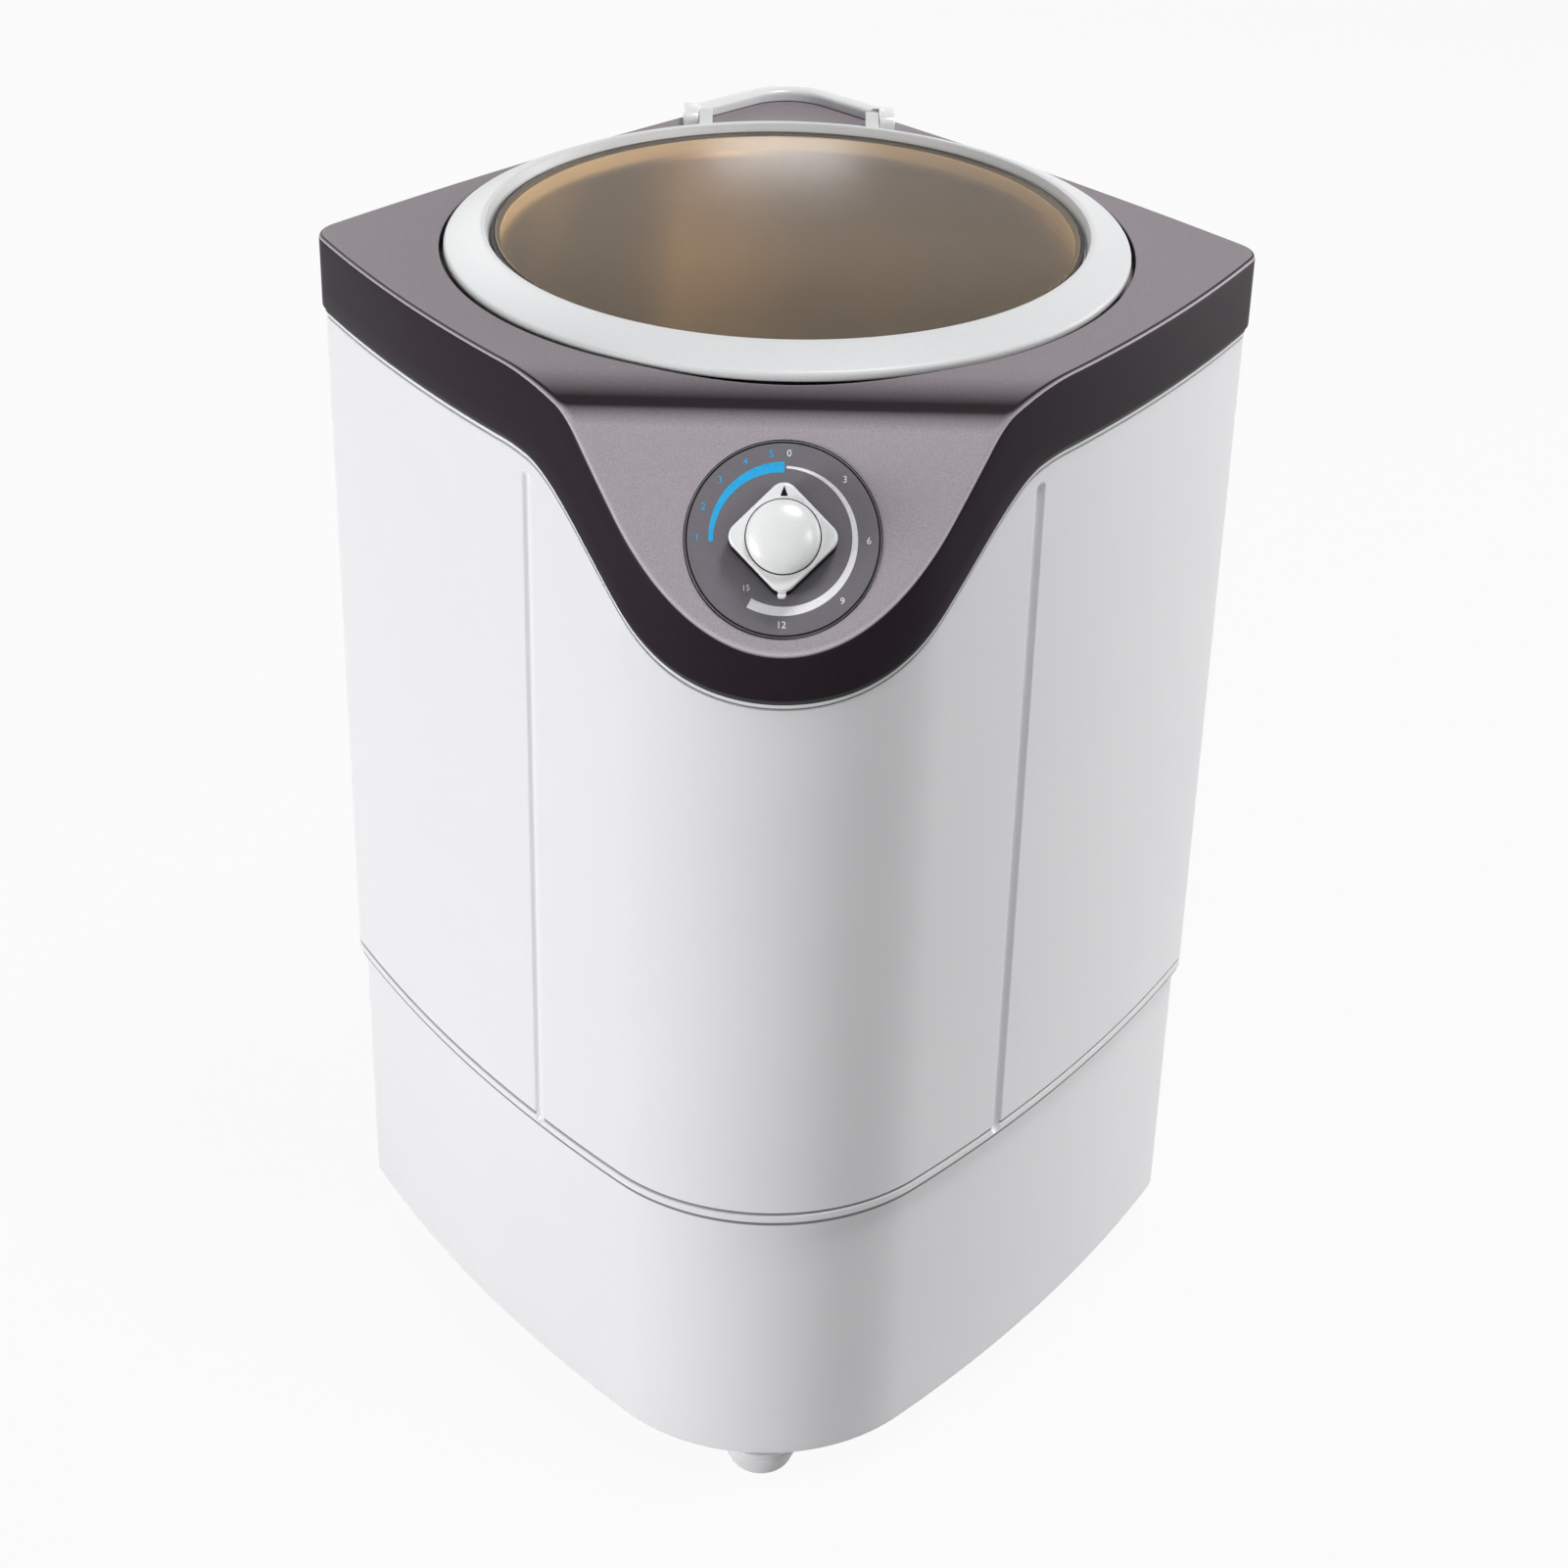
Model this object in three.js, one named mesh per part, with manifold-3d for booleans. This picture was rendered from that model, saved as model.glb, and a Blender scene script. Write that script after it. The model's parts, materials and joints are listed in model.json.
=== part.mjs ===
// A compact top load washing machine on a rounded, corner-forward square plan.
// Millimetres, +Z up. The origin is on the floor under the middle of the plan, and the
// control corner faces -Y. The lid hinges at the rear corner, the pulsator turns in the
// tub, and a motor in the base drives it by a belt.

import * as THREE from "three";
import { mergeVertices } from "three/addons/utils/BufferGeometryUtils.js";
import Module from "manifold-3d";

const wasm = await Module();
wasm.setup();

// ---------------------------------------------------------------- driving dimensions

// Plan of the top cover: four bowed sides joined by round corners, one of them at the front.
const FRONT_SIDE_REACH = 176.5; // plan centre to each front side
const FRONT_SIDE_BOW = 843; // bow radius of the front sides
const FRONT_SIDE_SHIFT = 82; // how far forward along the side its bow is fullest
const REAR_SIDE_REACH = 168.6;
const REAR_SIDE_BOW = 2036;
const REAR_SIDE_SHIFT = 16;
const FRONT_CORNER_RADIUS = 97;
const SIDE_CORNER_RADIUS = 16.5;
const REAR_CORNER_RADIUS = 35;

// Heights.
const FOOT_HEIGHT = 18;
const BASE_HEIGHT = 142; // underside of the base to the seam
const BODY_HEIGHT = 383; // seam to the flat top of the cover

// Shells.
const WALL = 3;
const GAP = 0.3; // between pieces that touch
const BODY_INSET = 1.6; // the body stands back this far from the cover
const LAP = 10; // how far the base reaches up inside the body
const LEDGE = 6; // inner ledge of the body that clamps the deck
const DECK_THICKNESS = 4;

// Cover and control face.
const BAND_SIDE = 34; // height of the cover's band at the sides
const BAND_FRONT = 20.5; // under the middle of the control face
const BAND_BULGE = 10; // extra height half way between them
const BAND_LIP = 6; // lip of the body inside the band
const FACE_REACH = 51; // front of the plan to the crease above the control face
const FACE_TILT = 58.78; // degrees that the control face leans from level
const CREASE_DROP = 8.3; // flat top to the crease
const DROOP_LENGTH = 33; // stretch of the top that falls to the crease
const CREASE_ROUND = 5; // height over which the top rolls into the face
const EDGE_ROUND = 2;
const SMALL_ROUND = 0.8;
const BASE_CHAMFER = 4; // lower edge of the base

// Seam detail and the two upright grooves of the front panel.
const SEAM_LINE_RISE = 7;
const SEAM_LINE_WIDTH = 1;
const SEAM_LINE_DEPTH = 0.8;
const SEAM_LINE_FLANK = 0.2; // slope of the line's edges
const GROOVE_SPREAD = 108.5; // half distance between the grooves
const GROOVE_WIDTH = 7;
const GROOVE_DEPTH = 1.8;
const GROOVE_TOP_BELOW = 12; // groove end under the cover's band
const GROOVE_END_RISE = 2;

// Lid.
const LID_Y = 9;
const LID_LAND = 2.6; // cover left between the lid recess and the rear sides
const RECESS_DEPTH = 7;
const RECESS_GAP = 1.9;
const RIM_WIDTH = 17.7; // sloping face of the lid frame
const RIM_LOW = -2; // underside of the overhanging rim, from the flat top
const RIM_HIGH = 2; // outer edge of the sloping face
const CREST_HIGH = 9.4;
const FRAME_FOOT_WIDTH = 9; // foot of the frame that stands in the recess
const WINDOW_THICKNESS = 2.5;
const WINDOW_HIGH = 6.4; // top of the window, from the flat top
const WINDOW_EDGE = 3; // crest to the edge of the window pocket
const GASKET_WIDTH = 1.7;
const GASKET_FOOT = 0.8; // thickness of the gasket's foot under the window
const POCKET_LEDGE = 5.1;
const HINGE_BEHIND = 10.5; // hinge axis behind the lid frame, at the hinge posts
const HINGE_RISE = 4.7;
const HINGE_SPREAD = 48; // half distance between the hinge posts
const POST_WIDTH = 7.6;
const POST_DEPTH = 13;
const POST_HEIGHT = 8.7;
const PIN_RADIUS = 2;
const KNUCKLE_RADIUS = 4;
const KNUCKLE_WIDTH = 9.4;
const ARM_BITE = 7; // how far a knuckle's arm reaches into the frame
const ARM_RISE = 1; // top of the arm over the hinge axis
const PIN_SHORT = 0.5; // each pin ends this far inside its bore
const RAIL_INSET = 2.8;
const RAIL_WIDTH = 7.8;
const RAIL_HEIGHT = 6.4;

// Tub and what turns in it.
const TUB_WALL = 1.5;
const TUB_RIM_WIDTH = 6.5;
const TUB_RIM_HEIGHT = 3.1;
const TUB_RIM_ROUND = 1.2;
const TUB_LEDGE_DEPTH = 5; // step below the lid recess that carries the rim
const TUB_LEDGE_LAP = 7.5; // ledge beyond the inside of the lid frame
const TUB_CORNER_RADIUS = 24;
const TUB_GASKET_HEIGHT = 1;
const TUB_GASKET_INSET = 0.5;
const SEAT_HEIGHT = 15.4; // ring of the deck that carries the tub
const SEAT_RADIUS = 103;
const SEAT_WIDTH = 6;
const PULSATOR_RADIUS = 95;
const PULSATOR_LIFT = 7; // pulsator over the tub's bottom
const PULSATOR_RIM_WIDTH = 7; // bevel under the pulsator's edge
const PULSATOR_RIM_RISE = 6;
const PULSATOR_RIM_HEIGHT = 3;
const PULSATOR_SHOULDER = 10; // round edge of the pulsator's upper face
const PULSATOR_CROWN = 12; // height of the upper face at that edge
const PULSATOR_HUB_RADIUS = 20;
const PULSATOR_HUB_FLARE = 10; // the foot of the hub spreads this far
const PULSATOR_HUB_RISE = 19; // height of the upper face at the hub
const PULSATOR_SEAT_RISE = 17; // pulsator's underside to the top of the shaft
const PULSATOR_CAP = 8; // hub over the shaft
const PULSATOR_FINS = 4;
const FIN_HEIGHT = 29;
const FIN_WIDTH = 9;
const FIN_INNER = 16;
const FIN_EDGE = 8; // end of a fin inside the pulsator's edge
const FIN_FOOT = 8; // underside of a fin, buried in the pulsator
const PULSATOR_SCREW_RADIUS = 4;
const PULSATOR_SCREW_HEAD = 9;
const PULSATOR_SCREW_REACH = 11; // screw down into the shaft
const SCREW_HOLE_SPARE = 3; // blind hole beyond the end of its screw

// Drive.
const SHAFT_RADIUS = 7;
const SHAFT_CLEARANCE = 2; // housing round the turning shaft
const SHAFT_DROP = 134.3; // underside of the deck to the end of the shaft
const NUT_RADIUS = 12;
const NUT_INSET = 0.5; // nut over the end of the shaft
const BEARING_RADIUS = 16;
const BEARING_HEIGHT = 11.7;
const HOUSING_RADIUS = 26;
const HOUSING_DROP = 108.3; // underside of the deck to the end of the housing
const HOUSING_CLEARANCE = 1.5; // deck round the housing
const HOUSING_FLANGE = 45;
const HOUSING_FLANGE_THICKNESS = 4.5;
const NECK_RADIUS = 20;
const NECK_RISE = 5; // neck through the bottom of the tub
const SEAL_HEIGHT = 10;
const PULLEY_DROP = 127.3; // underside of the deck to the underside of the pulleys
const PULLEY_HEIGHT = 14;
const PULLEY_FLANGE = 6;
const PULLEY_LIP = 1.8; // thickness of a flange at its edge
const PULLEY_LIP_TAPER = 0.4;
const PULLEY_HUB_WIDTH = 9;
const PULLEY_RIM_WIDTH = 6;
const PULLEY_WEB = 5;
const PULLEY_HUB_RISE = 3;
const DRIVE_PULLEY_RADIUS = 60;
const MOTOR_PULLEY_RADIUS = 14;
const BELT_THICKNESS = 4;
const BELT_GAP = 0.5; // clears the facets of the turning pulleys
const BELT_SIDE_GAP = 0.4;
const MOTOR_EDGE = 98.4; // motor's axis to the rear of the plan
const MOTOR_RADIUS = 46;
const MOTOR_HEIGHT = 76;
const MOTOR_BEVEL = 8;
const MOTOR_BOSS_RADIUS = 14;
const MOTOR_BOSS_HEIGHT = 6;
const MOTOR_SHAFT_RADIUS = 5;
const MOTOR_SHAFT_DEPTH = 28; // shaft inside the motor
const MOTOR_SHAFT_REACH = 3; // shaft below the pulley
const BRACKET_THICKNESS = 3;
const BRACKET_MARGIN = 11; // bracket round its bolts
const BUSH_HEIGHT = 17;
const BUSH_RADIUS = 8.5;
const MOTOR_MOUNT_X = 50;
const MOTOR_MOUNT_Y = 30;
const BOLT_RADIUS = 2.5;
const BOLT_HEAD_RADIUS = 5;
const BOLT_SHORT = 0.5; // bolt ends this far inside the deck

// Controls.
const DIAL_DROP = 51.5; // flat top to the centre of the dial
const DIAL_RADIUS = 40;
const DIAL_THICKNESS = 1.6;
const DIAL_POCKET = 0.9;
const KNOB_REACH = 22; // centre to the tips of the diamond skirt
const KNOB_TIP_RADIUS = 6;
const KNOB_HEIGHT = 10;
const KNOB_CAP_RADIUS = 15;
const KNOB_CAP_RISE = 6;
const KNOB_CAP_EDGE = 1; // upright edge under the cap's dome
const KNOB_LIFT = 1; // knob over the dial
const KNOB_ROOF = 2; // skirt over the end of the timer's shaft
const TIMER_SHAFT_RADIUS = 3;
const TIMER_SHAFT_DEPTH = 6; // shaft inside the timer
const TIMER_SHAFT_CLEARANCE = 3; // hole in the cover round the shaft
const DIAL_BORE_CLEARANCE = 2;
const TIMER_GAP = 0.6; // behind the control face, which bows a little
const TIMER_SIZE = new THREE.Vector3(46, 38, 28);
const TIMER_EAR_REACH = 6; // side of the timer to the screw hole in its ear
const TIMER_EAR_MARGIN = 5;
const TIMER_EAR_WIDTH = 16;
const TIMER_EAR_THICKNESS = 2;

// Fasteners, feet, drain and cord gland.
const SCREW_RADIUS = 2;
const SCREW_HEAD_RADIUS = 4;
const SCREW_HEAD_HEIGHT = 2;
const SCREW_HEAD_TAPER = 0.8; // top of a head as a share of its rim
const SCREW_REACH = 3; // screw beyond the two walls that it holds
const FOOT_RADIUS = 18.5;
const FOOT_TIP_RADIUS = 12;
const FOOT_TIP_FLARE = 2.5;
const FOOT_TIP_HEIGHT = 3;
const FOOT_COLLAR = 5; // upright part of the foot
const FOOT_STUD_RADIUS = 4;
const FOOT_STUD_REACH = 2; // stud above the base's floor
const FOOT_EDGE = 24; // foot centre to the front of the plan
const FOOT_REAR_EDGE = 34; // and to its rear
const FOOT_SIDE_EDGE = 41; // and to its left and right
const HATCH_RADIUS = 118; // hole in the base's floor
const HATCH_OVERLAP = 10;
const VENT_LENGTH = 90;
const VENT_WIDTH = 6;
const VENT_PITCH = 14;
const DRAIN_X = -70;
const DRAIN_BORE = 8;
const DRAIN_WALL = 2.2;
const DRAIN_Z = 60;
const SPIGOT_REACH = 27;
const SPIGOT_DEPTH = 20; // spigot inside the wall
const SPIGOT_FLANGE = 6;
const SPIGOT_FLANGE_THICKNESS = 2;
const SPIGOT_BARB = 9; // length of the barb at the spigot's end
const SPIGOT_BARB_RISE = 1.2;
const SPIGOT_BARB_RAMP = 2;
const SPIGOT_TIP = 0.6; // narrowing of the spigot's end
const FITTING_FLANGE = 7;
const FITTING_LIFT = 3; // the fitting's flange over the deck
const FITTING_RISE = 1; // the fitting over the tub's bottom
const HOSE_DROP = 22; // underside of the deck to the top of the drain hose
const HOSE_BEND_RISE = 10;
const HOSE_BEND_REACH = 45;
const HOSE_STEPS = 12;
const GLAND_Z = 50;
const GLAND_RADIUS = 8;
const GLAND_BORE = 3.5;
const GLAND_DEPTH = 4;
const GLAND_FLANGE = 4;
const GLAND_FLANGE_THICKNESS = 3;
const GLAND_REACH = 9;
const CAPACITOR_RADIUS = 17;
const CAPACITOR_HEIGHT = 56;
const CAPACITOR_AT = new THREE.Vector2(84, 20);
const CAPACITOR_DROP = 3; // underside of the deck to the top of the capacitor
const CLIP_DROP = 20; // top of the capacitor to its clip
const CLIP_HEIGHT = 12;
const CLIP_WALL = 2;
const STRAP_WIDTH = 12;
const STRAP_BITE = 1.2; // strap inside the clip's ring
const STRAP_PROUD = 1.5;

// Cutters run on past what they cut.
const CUT_MARGIN = 2;
const DRILL_REACH = 40; // half length of a cutter through a rear wall

// Facets round a full turn.
const FINE = 40; // lid, tub and other wide rounds
const MIDDLE = 20; // pulleys, housings and feet
const COARSE = 10; // pins and bores
const SCREW_FACETS = 8;
const PULSATOR_FACETS = 24;
const NUT_FACETS = 6;
const ARC_FACETS = 6; // round corners and domes
const BELT_FACETS = 9; // belt round each pulley
const BEND_FACETS = 3; // quarter turn at the tub's bottom

// ------------------------------------------------------------------ derived heights

const FACE_SLOPE = Math.tan(THREE.MathUtils.degToRad(FACE_TILT)); // rise over run
const SEAM_Z = FOOT_HEIGHT + BASE_HEIGHT;
const TOP_Z = SEAM_Z + BODY_HEIGHT;
const DECK_Z = SEAM_Z + LAP + GAP;
const DECK_TOP = DECK_Z + DECK_THICKNESS;
const SHAFT_BOTTOM = DECK_Z - SHAFT_DROP;
const HOUSING_BOTTOM = DECK_Z - HOUSING_DROP;
const PULLEY_Z = DECK_Z - PULLEY_DROP;
const TUB_BOTTOM = DECK_TOP + SEAT_HEIGHT + GAP;
const RECESS_Z = TOP_Z - RECESS_DEPTH;
const LID_Z = RECESS_Z + GAP; // underside of the lid frame's foot
const TUB_LEDGE_Z = RECESS_Z - TUB_LEDGE_DEPTH;

// Insets from the cover's outline.
const COVER_INNER = WALL;
const LIP_INSET = COVER_INNER + GAP;
const BODY_INNER = BODY_INSET + WALL;
const BASE_INSET = BODY_INNER + GAP;
const BASE_INNER = BASE_INSET + WALL;

// ------------------------------------------------------------------------ materials

const paint = (color, roughness, metalness = 0) =>
  new THREE.MeshStandardMaterial({ color, roughness, metalness });

const whitePlastic = paint(0xf0f0f0, 0.3);
const coverPlastic = paint(0x6b6169, 0.35, 0.3);
const silverPlastic = paint(0xd2d4d6, 0.28, 0.6);
const steel = paint(0xb9b2a8, 0.25, 0.95);
const shaftSteel = paint(0x9a9ca0, 0.35, 0.9);
const screwSteel = paint(0xb4b6ba, 0.35, 0.9);
const rubber = paint(0x262626, 0.8);
const greyRubber = paint(0x9a9a9c, 0.6);
const dialInk = paint(0x565058, 0.4);
const greyPlastic = paint(0xb8bcc0, 0.5);
const darkPlastic = paint(0x3a3a3e, 0.5);
const castAluminium = paint(0xa6a8aa, 0.5, 0.8);
const smokedWindow = new THREE.MeshStandardMaterial({
  color: 0x6a5238,
  roughness: 0.08,
  transparent: true,
  opacity: 0.55,
});

// -------------------------------------------------------------------- mesh utilities

/** Merges shared vertices, drops collapsed triangles and turns the faces outward. */
function tidy(source) {
  const bare = new THREE.BufferGeometry();
  bare.setAttribute("position", source.getAttribute("position").clone());
  if (source.index) bare.setIndex(source.index.clone());
  const merged = mergeVertices(bare, 1e-4);
  const kept = [];
  const index = merged.index.array;
  for (let i = 0; i < index.length; i += 3) {
    const [a, b, c] = [index[i], index[i + 1], index[i + 2]];
    if (a !== b && b !== c && c !== a) kept.push(a, b, c);
  }
  if (signedVolume(merged.getAttribute("position"), kept) < 0) kept.reverse();
  merged.setIndex(kept);
  merged.computeVertexNormals();
  return merged;
}

/** Six times the volume that the triangles enclose: negative when they face inward. */
function signedVolume(position, index) {
  const [a, b, c] = [0, 1, 2].map(() => new THREE.Vector3());
  let sum = 0;
  for (let i = 0; i < index.length; i += 3) {
    a.fromBufferAttribute(position, index[i]);
    b.fromBufferAttribute(position, index[i + 1]);
    c.fromBufferAttribute(position, index[i + 2]);
    sum += a.dot(b.cross(c));
  }
  return sum;
}

/** A manifold-3d solid of a closed geometry. */
function solid(geometry) {
  const tidied = tidy(geometry);
  const mesh = new wasm.Mesh({
    numProp: 3,
    vertProperties: new Float32Array(tidied.getAttribute("position").array),
    triVerts: new Uint32Array(tidied.index.array),
  });
  return new wasm.Manifold(mesh);
}

/** The geometry of a manifold-3d solid. */
function geometryOf(manifold) {
  const mesh = manifold.getMesh();
  const geometry = new THREE.BufferGeometry();
  const position = new THREE.BufferAttribute(new Float32Array(mesh.vertProperties), 3);
  geometry.setAttribute("position", position);
  geometry.setIndex(Array.from(mesh.triVerts));
  return tidy(geometry);
}

/** body with the tools cut out of it. */
function cut(body, ...tools) {
  return geometryOf(tools.reduce((left, tool) => left.subtract(solid(tool)), solid(body)));
}

/** The pieces joined into one solid. */
function join(first, ...others) {
  return geometryOf(others.reduce((sum, other) => sum.add(solid(other)), solid(first)));
}

/** A solid of revolution about Z. The profile is a list of [radius, z]. */
function turned(profile, segments = MIDDLE) {
  const closed = profile[0][0] === 0 ? profile : [...profile, profile[0]];
  const points = closed.map(([r, z]) => new THREE.Vector2(r, z));
  return tidy(new THREE.LatheGeometry(points, segments).rotateX(Math.PI / 2));
}

const disc = (radius, low, high, segments = MIDDLE) =>
  turned([[0, low], [radius, low], [radius, high], [0, high]], segments);

const tube = (inner, outer, low, high, segments = MIDDLE) =>
  turned([[inner, low], [outer, low], [outer, high], [inner, high]], segments);

/** A box between two corners. */
function block(low, high) {
  const size = high.map((value, axis) => value - low[axis]);
  const middle = high.map((value, axis) => (value + low[axis]) / 2);
  return tidy(new THREE.BoxGeometry(...size).translate(...middle));
}

/** A plan shape drawn up from z = low to z = high. */
function drawnUp(shape, low, high, curveSegments = COARSE) {
  const options = { depth: high - low, bevelEnabled: false, curveSegments };
  return tidy(new THREE.ExtrudeGeometry(shape, options).translate(0, 0, low));
}

/** A named sub-part, placed by its position and, where it has one, its rotation. */
function piece(name, geometry, material, at = [0, 0, 0], quaternion = null) {
  const mesh = new THREE.Mesh(geometry, material);
  mesh.name = name;
  mesh.position.set(...at);
  if (quaternion) mesh.quaternion.copy(quaternion);
  return mesh;
}

// --------------------------------------------------------------------- plan outline

const HALF_ROOT = Math.SQRT1_2;

/** Where two circles cross, on the left of the line from the first centre to the second. */
function circleCrossing(c1, r1, c2, r2) {
  const between = c2.clone().sub(c1);
  const distance = between.length();
  const along = (r1 * r1 - r2 * r2 + distance * distance) / (2 * distance);
  const across = Math.sqrt(Math.max(r1 * r1 - along * along, 0));
  const direction = between.divideScalar(distance);
  const side = new THREE.Vector2(-direction.y, direction.x);
  return c1.clone().addScaledVector(direction, along).addScaledVector(side, across);
}

/** Centres of the arcs of the left half of the plan, about the meeting point of its sides. */
function planCentres() {
  const frontNormal = new THREE.Vector2(-HALF_ROOT, -HALF_ROOT);
  const frontAlong = new THREE.Vector2(HALF_ROOT, -HALF_ROOT);
  const rearNormal = new THREE.Vector2(-HALF_ROOT, HALF_ROOT);
  const rearAlong = new THREE.Vector2(HALF_ROOT, HALF_ROOT);
  const front = frontNormal.multiplyScalar(FRONT_SIDE_REACH - FRONT_SIDE_BOW);
  front.addScaledVector(frontAlong, FRONT_SIDE_SHIFT);
  const rear = rearNormal.multiplyScalar(REAR_SIDE_REACH - REAR_SIDE_BOW);
  rear.addScaledVector(rearAlong, REAR_SIDE_SHIFT);
  const side = circleCrossing(
    rear,
    REAR_SIDE_BOW - SIDE_CORNER_RADIUS,
    front,
    FRONT_SIDE_BOW - SIDE_CORNER_RADIUS,
  );
  const frontCorner = new THREE.Vector2(
    0,
    front.y - Math.sqrt((FRONT_SIDE_BOW - FRONT_CORNER_RADIUS) ** 2 - front.x ** 2),
  );
  const rearCorner = new THREE.Vector2(
    0,
    rear.y + Math.sqrt((REAR_SIDE_BOW - REAR_CORNER_RADIUS) ** 2 - rear.x ** 2),
  );
  return { front, rear, side, frontCorner, rearCorner };
}

const centres = planCentres();
const PLAN_FRONT = centres.frontCorner.y - FRONT_CORNER_RADIUS;
const PLAN_REAR = centres.rearCorner.y + REAR_CORNER_RADIUS;
const PLAN_MIDDLE = (PLAN_FRONT + PLAN_REAR) / 2;
for (const centre of Object.values(centres)) centre.y -= PLAN_MIDDLE;
const HALF_DEPTH = (PLAN_REAR - PLAN_FRONT) / 2;
const HALF_WIDTH = SIDE_CORNER_RADIUS - centres.side.x;
const REAR_REACH = REAR_SIDE_REACH - PLAN_MIDDLE * HALF_ROOT; // from the origin

/** Direction from one centre to another, from 0 to a full turn. */
function bearing(from, to) {
  const angle = Math.atan2(to.y - from.y, to.x - from.x);
  return angle < 0 ? angle + 2 * Math.PI : angle;
}

/** Samples of one arc of the outline, its first end left out. */
function arcSamples(centre, radius, start, end, count) {
  const step = (end - start) / count;
  const sample = (_, i) => ({ centre, radius, angle: start + step * (i + 1), groove: false });
  return Array.from({ length: count }, sample);
}

/** Samples of the left front side, with four close ones that shape the upright groove. */
function frontSideSamples(start, end) {
  const middle = Math.PI + Math.asin(clampUnit(grooveSine()));
  const wide = GROOVE_WIDTH / 2 / FRONT_SIDE_BOW;
  const narrow = wide * 0.45;
  const samples = [
    ...arcSamples(centres.front, FRONT_SIDE_BOW, start, middle - wide, 3),
    ...arcSamples(centres.front, FRONT_SIDE_BOW, middle - wide, middle - narrow, 1),
    ...arcSamples(centres.front, FRONT_SIDE_BOW, middle - narrow, middle + narrow, 1),
    ...arcSamples(centres.front, FRONT_SIDE_BOW, middle + narrow, middle + wide, 1),
    ...arcSamples(centres.front, FRONT_SIDE_BOW, middle + wide, end, 4),
  ];
  samples[3].groove = true;
  samples[4].groove = true;
  return samples;
}

const clampUnit = (value) => Math.max(-1, Math.min(1, value));

/** Sine, below the bow's centre, of the angle at which the front side is GROOVE_SPREAD out. */
function grooveSine() {
  const across = (centres.front.x + GROOVE_SPREAD) / FRONT_SIDE_BOW;
  return Math.sqrt(1 - clampUnit(across) ** 2);
}

/** The outline, counterclockwise from the rear: each sample knows its arc's centre. */
function planSamples() {
  const { front, rear, side, frontCorner, rearCorner } = centres;
  const rearStart = bearing(rear, rearCorner);
  const rearEnd = bearing(rear, side);
  const frontStart = bearing(front, side);
  const frontEnd = bearing(front, frontCorner);
  const left = [
    ...arcSamples(rearCorner, REAR_CORNER_RADIUS, Math.PI / 2, rearStart, 2),
    ...arcSamples(rear, REAR_SIDE_BOW, rearStart, rearEnd, 6),
    ...arcSamples(side, SIDE_CORNER_RADIUS, rearEnd, frontStart, 3),
    ...frontSideSamples(frontStart, frontEnd),
    ...arcSamples(frontCorner, FRONT_CORNER_RADIUS, frontEnd, 1.5 * Math.PI, 4),
  ];
  const right = left.slice(0, -1).reverse().map(mirrored);
  const first = { centre: rearCorner, radius: REAR_CORNER_RADIUS, angle: Math.PI / 2 };
  return [...left, ...right, { ...first, groove: false }];
}

/** The same sample on the right half. */
function mirrored({ centre, radius, angle, groove }) {
  const across = new THREE.Vector2(-centre.x, centre.y);
  return { centre: across, radius, angle: Math.PI - angle, groove };
}

const OUTLINE = planSamples();

/** The outline point of a sample, moved in square to the outline. */
function outlineAt({ centre, radius, angle }, inset) {
  const reach = radius - inset;
  const x = centre.x + reach * Math.cos(angle);
  const y = centre.y + reach * Math.sin(angle);
  return new THREE.Vector2(x, y);
}

const LID_CENTRE = new THREE.Vector2(0, LID_Y);

/** The point at a radius about the lid's centre that lies towards a sample. */
function roundAt(sample, radius) {
  const direction = outlineAt(sample, 0).sub(LID_CENTRE).normalize();
  return LID_CENTRE.clone().addScaledVector(direction, radius);
}

/** A ring-shaped solid: section(sample) gives its closed profile, as [point, z] pairs. */
function swept(section) {
  const loops = OUTLINE.map(section);
  const rows = loops[0].length;
  const vertices = loops.flatMap((loop) => loop.flatMap(([p, z]) => [p.x, p.y, z]));
  const index = [];
  for (let i = 0; i < loops.length; i++) {
    const next = (i + 1) % loops.length;
    for (let j = 0; j < rows; j++) {
      const up = (j + 1) % rows;
      const [a, b] = [i * rows + j, next * rows + j];
      const [c, d] = [next * rows + up, i * rows + up];
      index.push(a, b, c, a, c, d);
    }
  }
  const geometry = new THREE.BufferGeometry();
  geometry.setAttribute("position", new THREE.Float32BufferAttribute(vertices, 3));
  geometry.setIndex(index);
  return tidy(geometry);
}

/** Turns local Z to point out through a rear side; side is -1 on the left and 1 on the right. */
function outOfRear(side) {
  const outward = new THREE.Vector3(side * HALF_ROOT, HALF_ROOT, 0);
  return new THREE.Quaternion().setFromUnitVectors(new THREE.Vector3(0, 0, 1), outward);
}

/** A point on the middle line of a rear side, at a distance from the origin. */
const onRearLine = (side, distance, z) => [
  side * distance * HALF_ROOT,
  distance * HALF_ROOT,
  z,
];

/** A cylinder that pierces a rear wall at a height. */
function rearDrill(side, radius, z) {
  const drill = disc(radius, REAR_REACH - DRILL_REACH, REAR_REACH + DRILL_REACH, COARSE);
  drill.applyQuaternion(outOfRear(side));
  return drill.translate(0, 0, z);
}

// ------------------------------------------------------------------ top cover surface

const CREASE_Y = -HALF_DEPTH + FACE_REACH;

/** Height of the cover's upper surface: a flat top that droops to the control face. */
function topHeight({ y }) {
  const behind = y - CREASE_Y;
  const droop = Math.max(1 - behind / DROOP_LENGTH, 0);
  const top = TOP_Z - CREASE_DROP * droop * droop;
  const face = TOP_Z - CREASE_DROP + FACE_SLOPE * behind;
  const blend = Math.max(1 - Math.abs(face - top) / CREASE_ROUND, 0);
  return Math.min(top, face) - (blend * blend * CREASE_ROUND) / 4;
}

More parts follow.
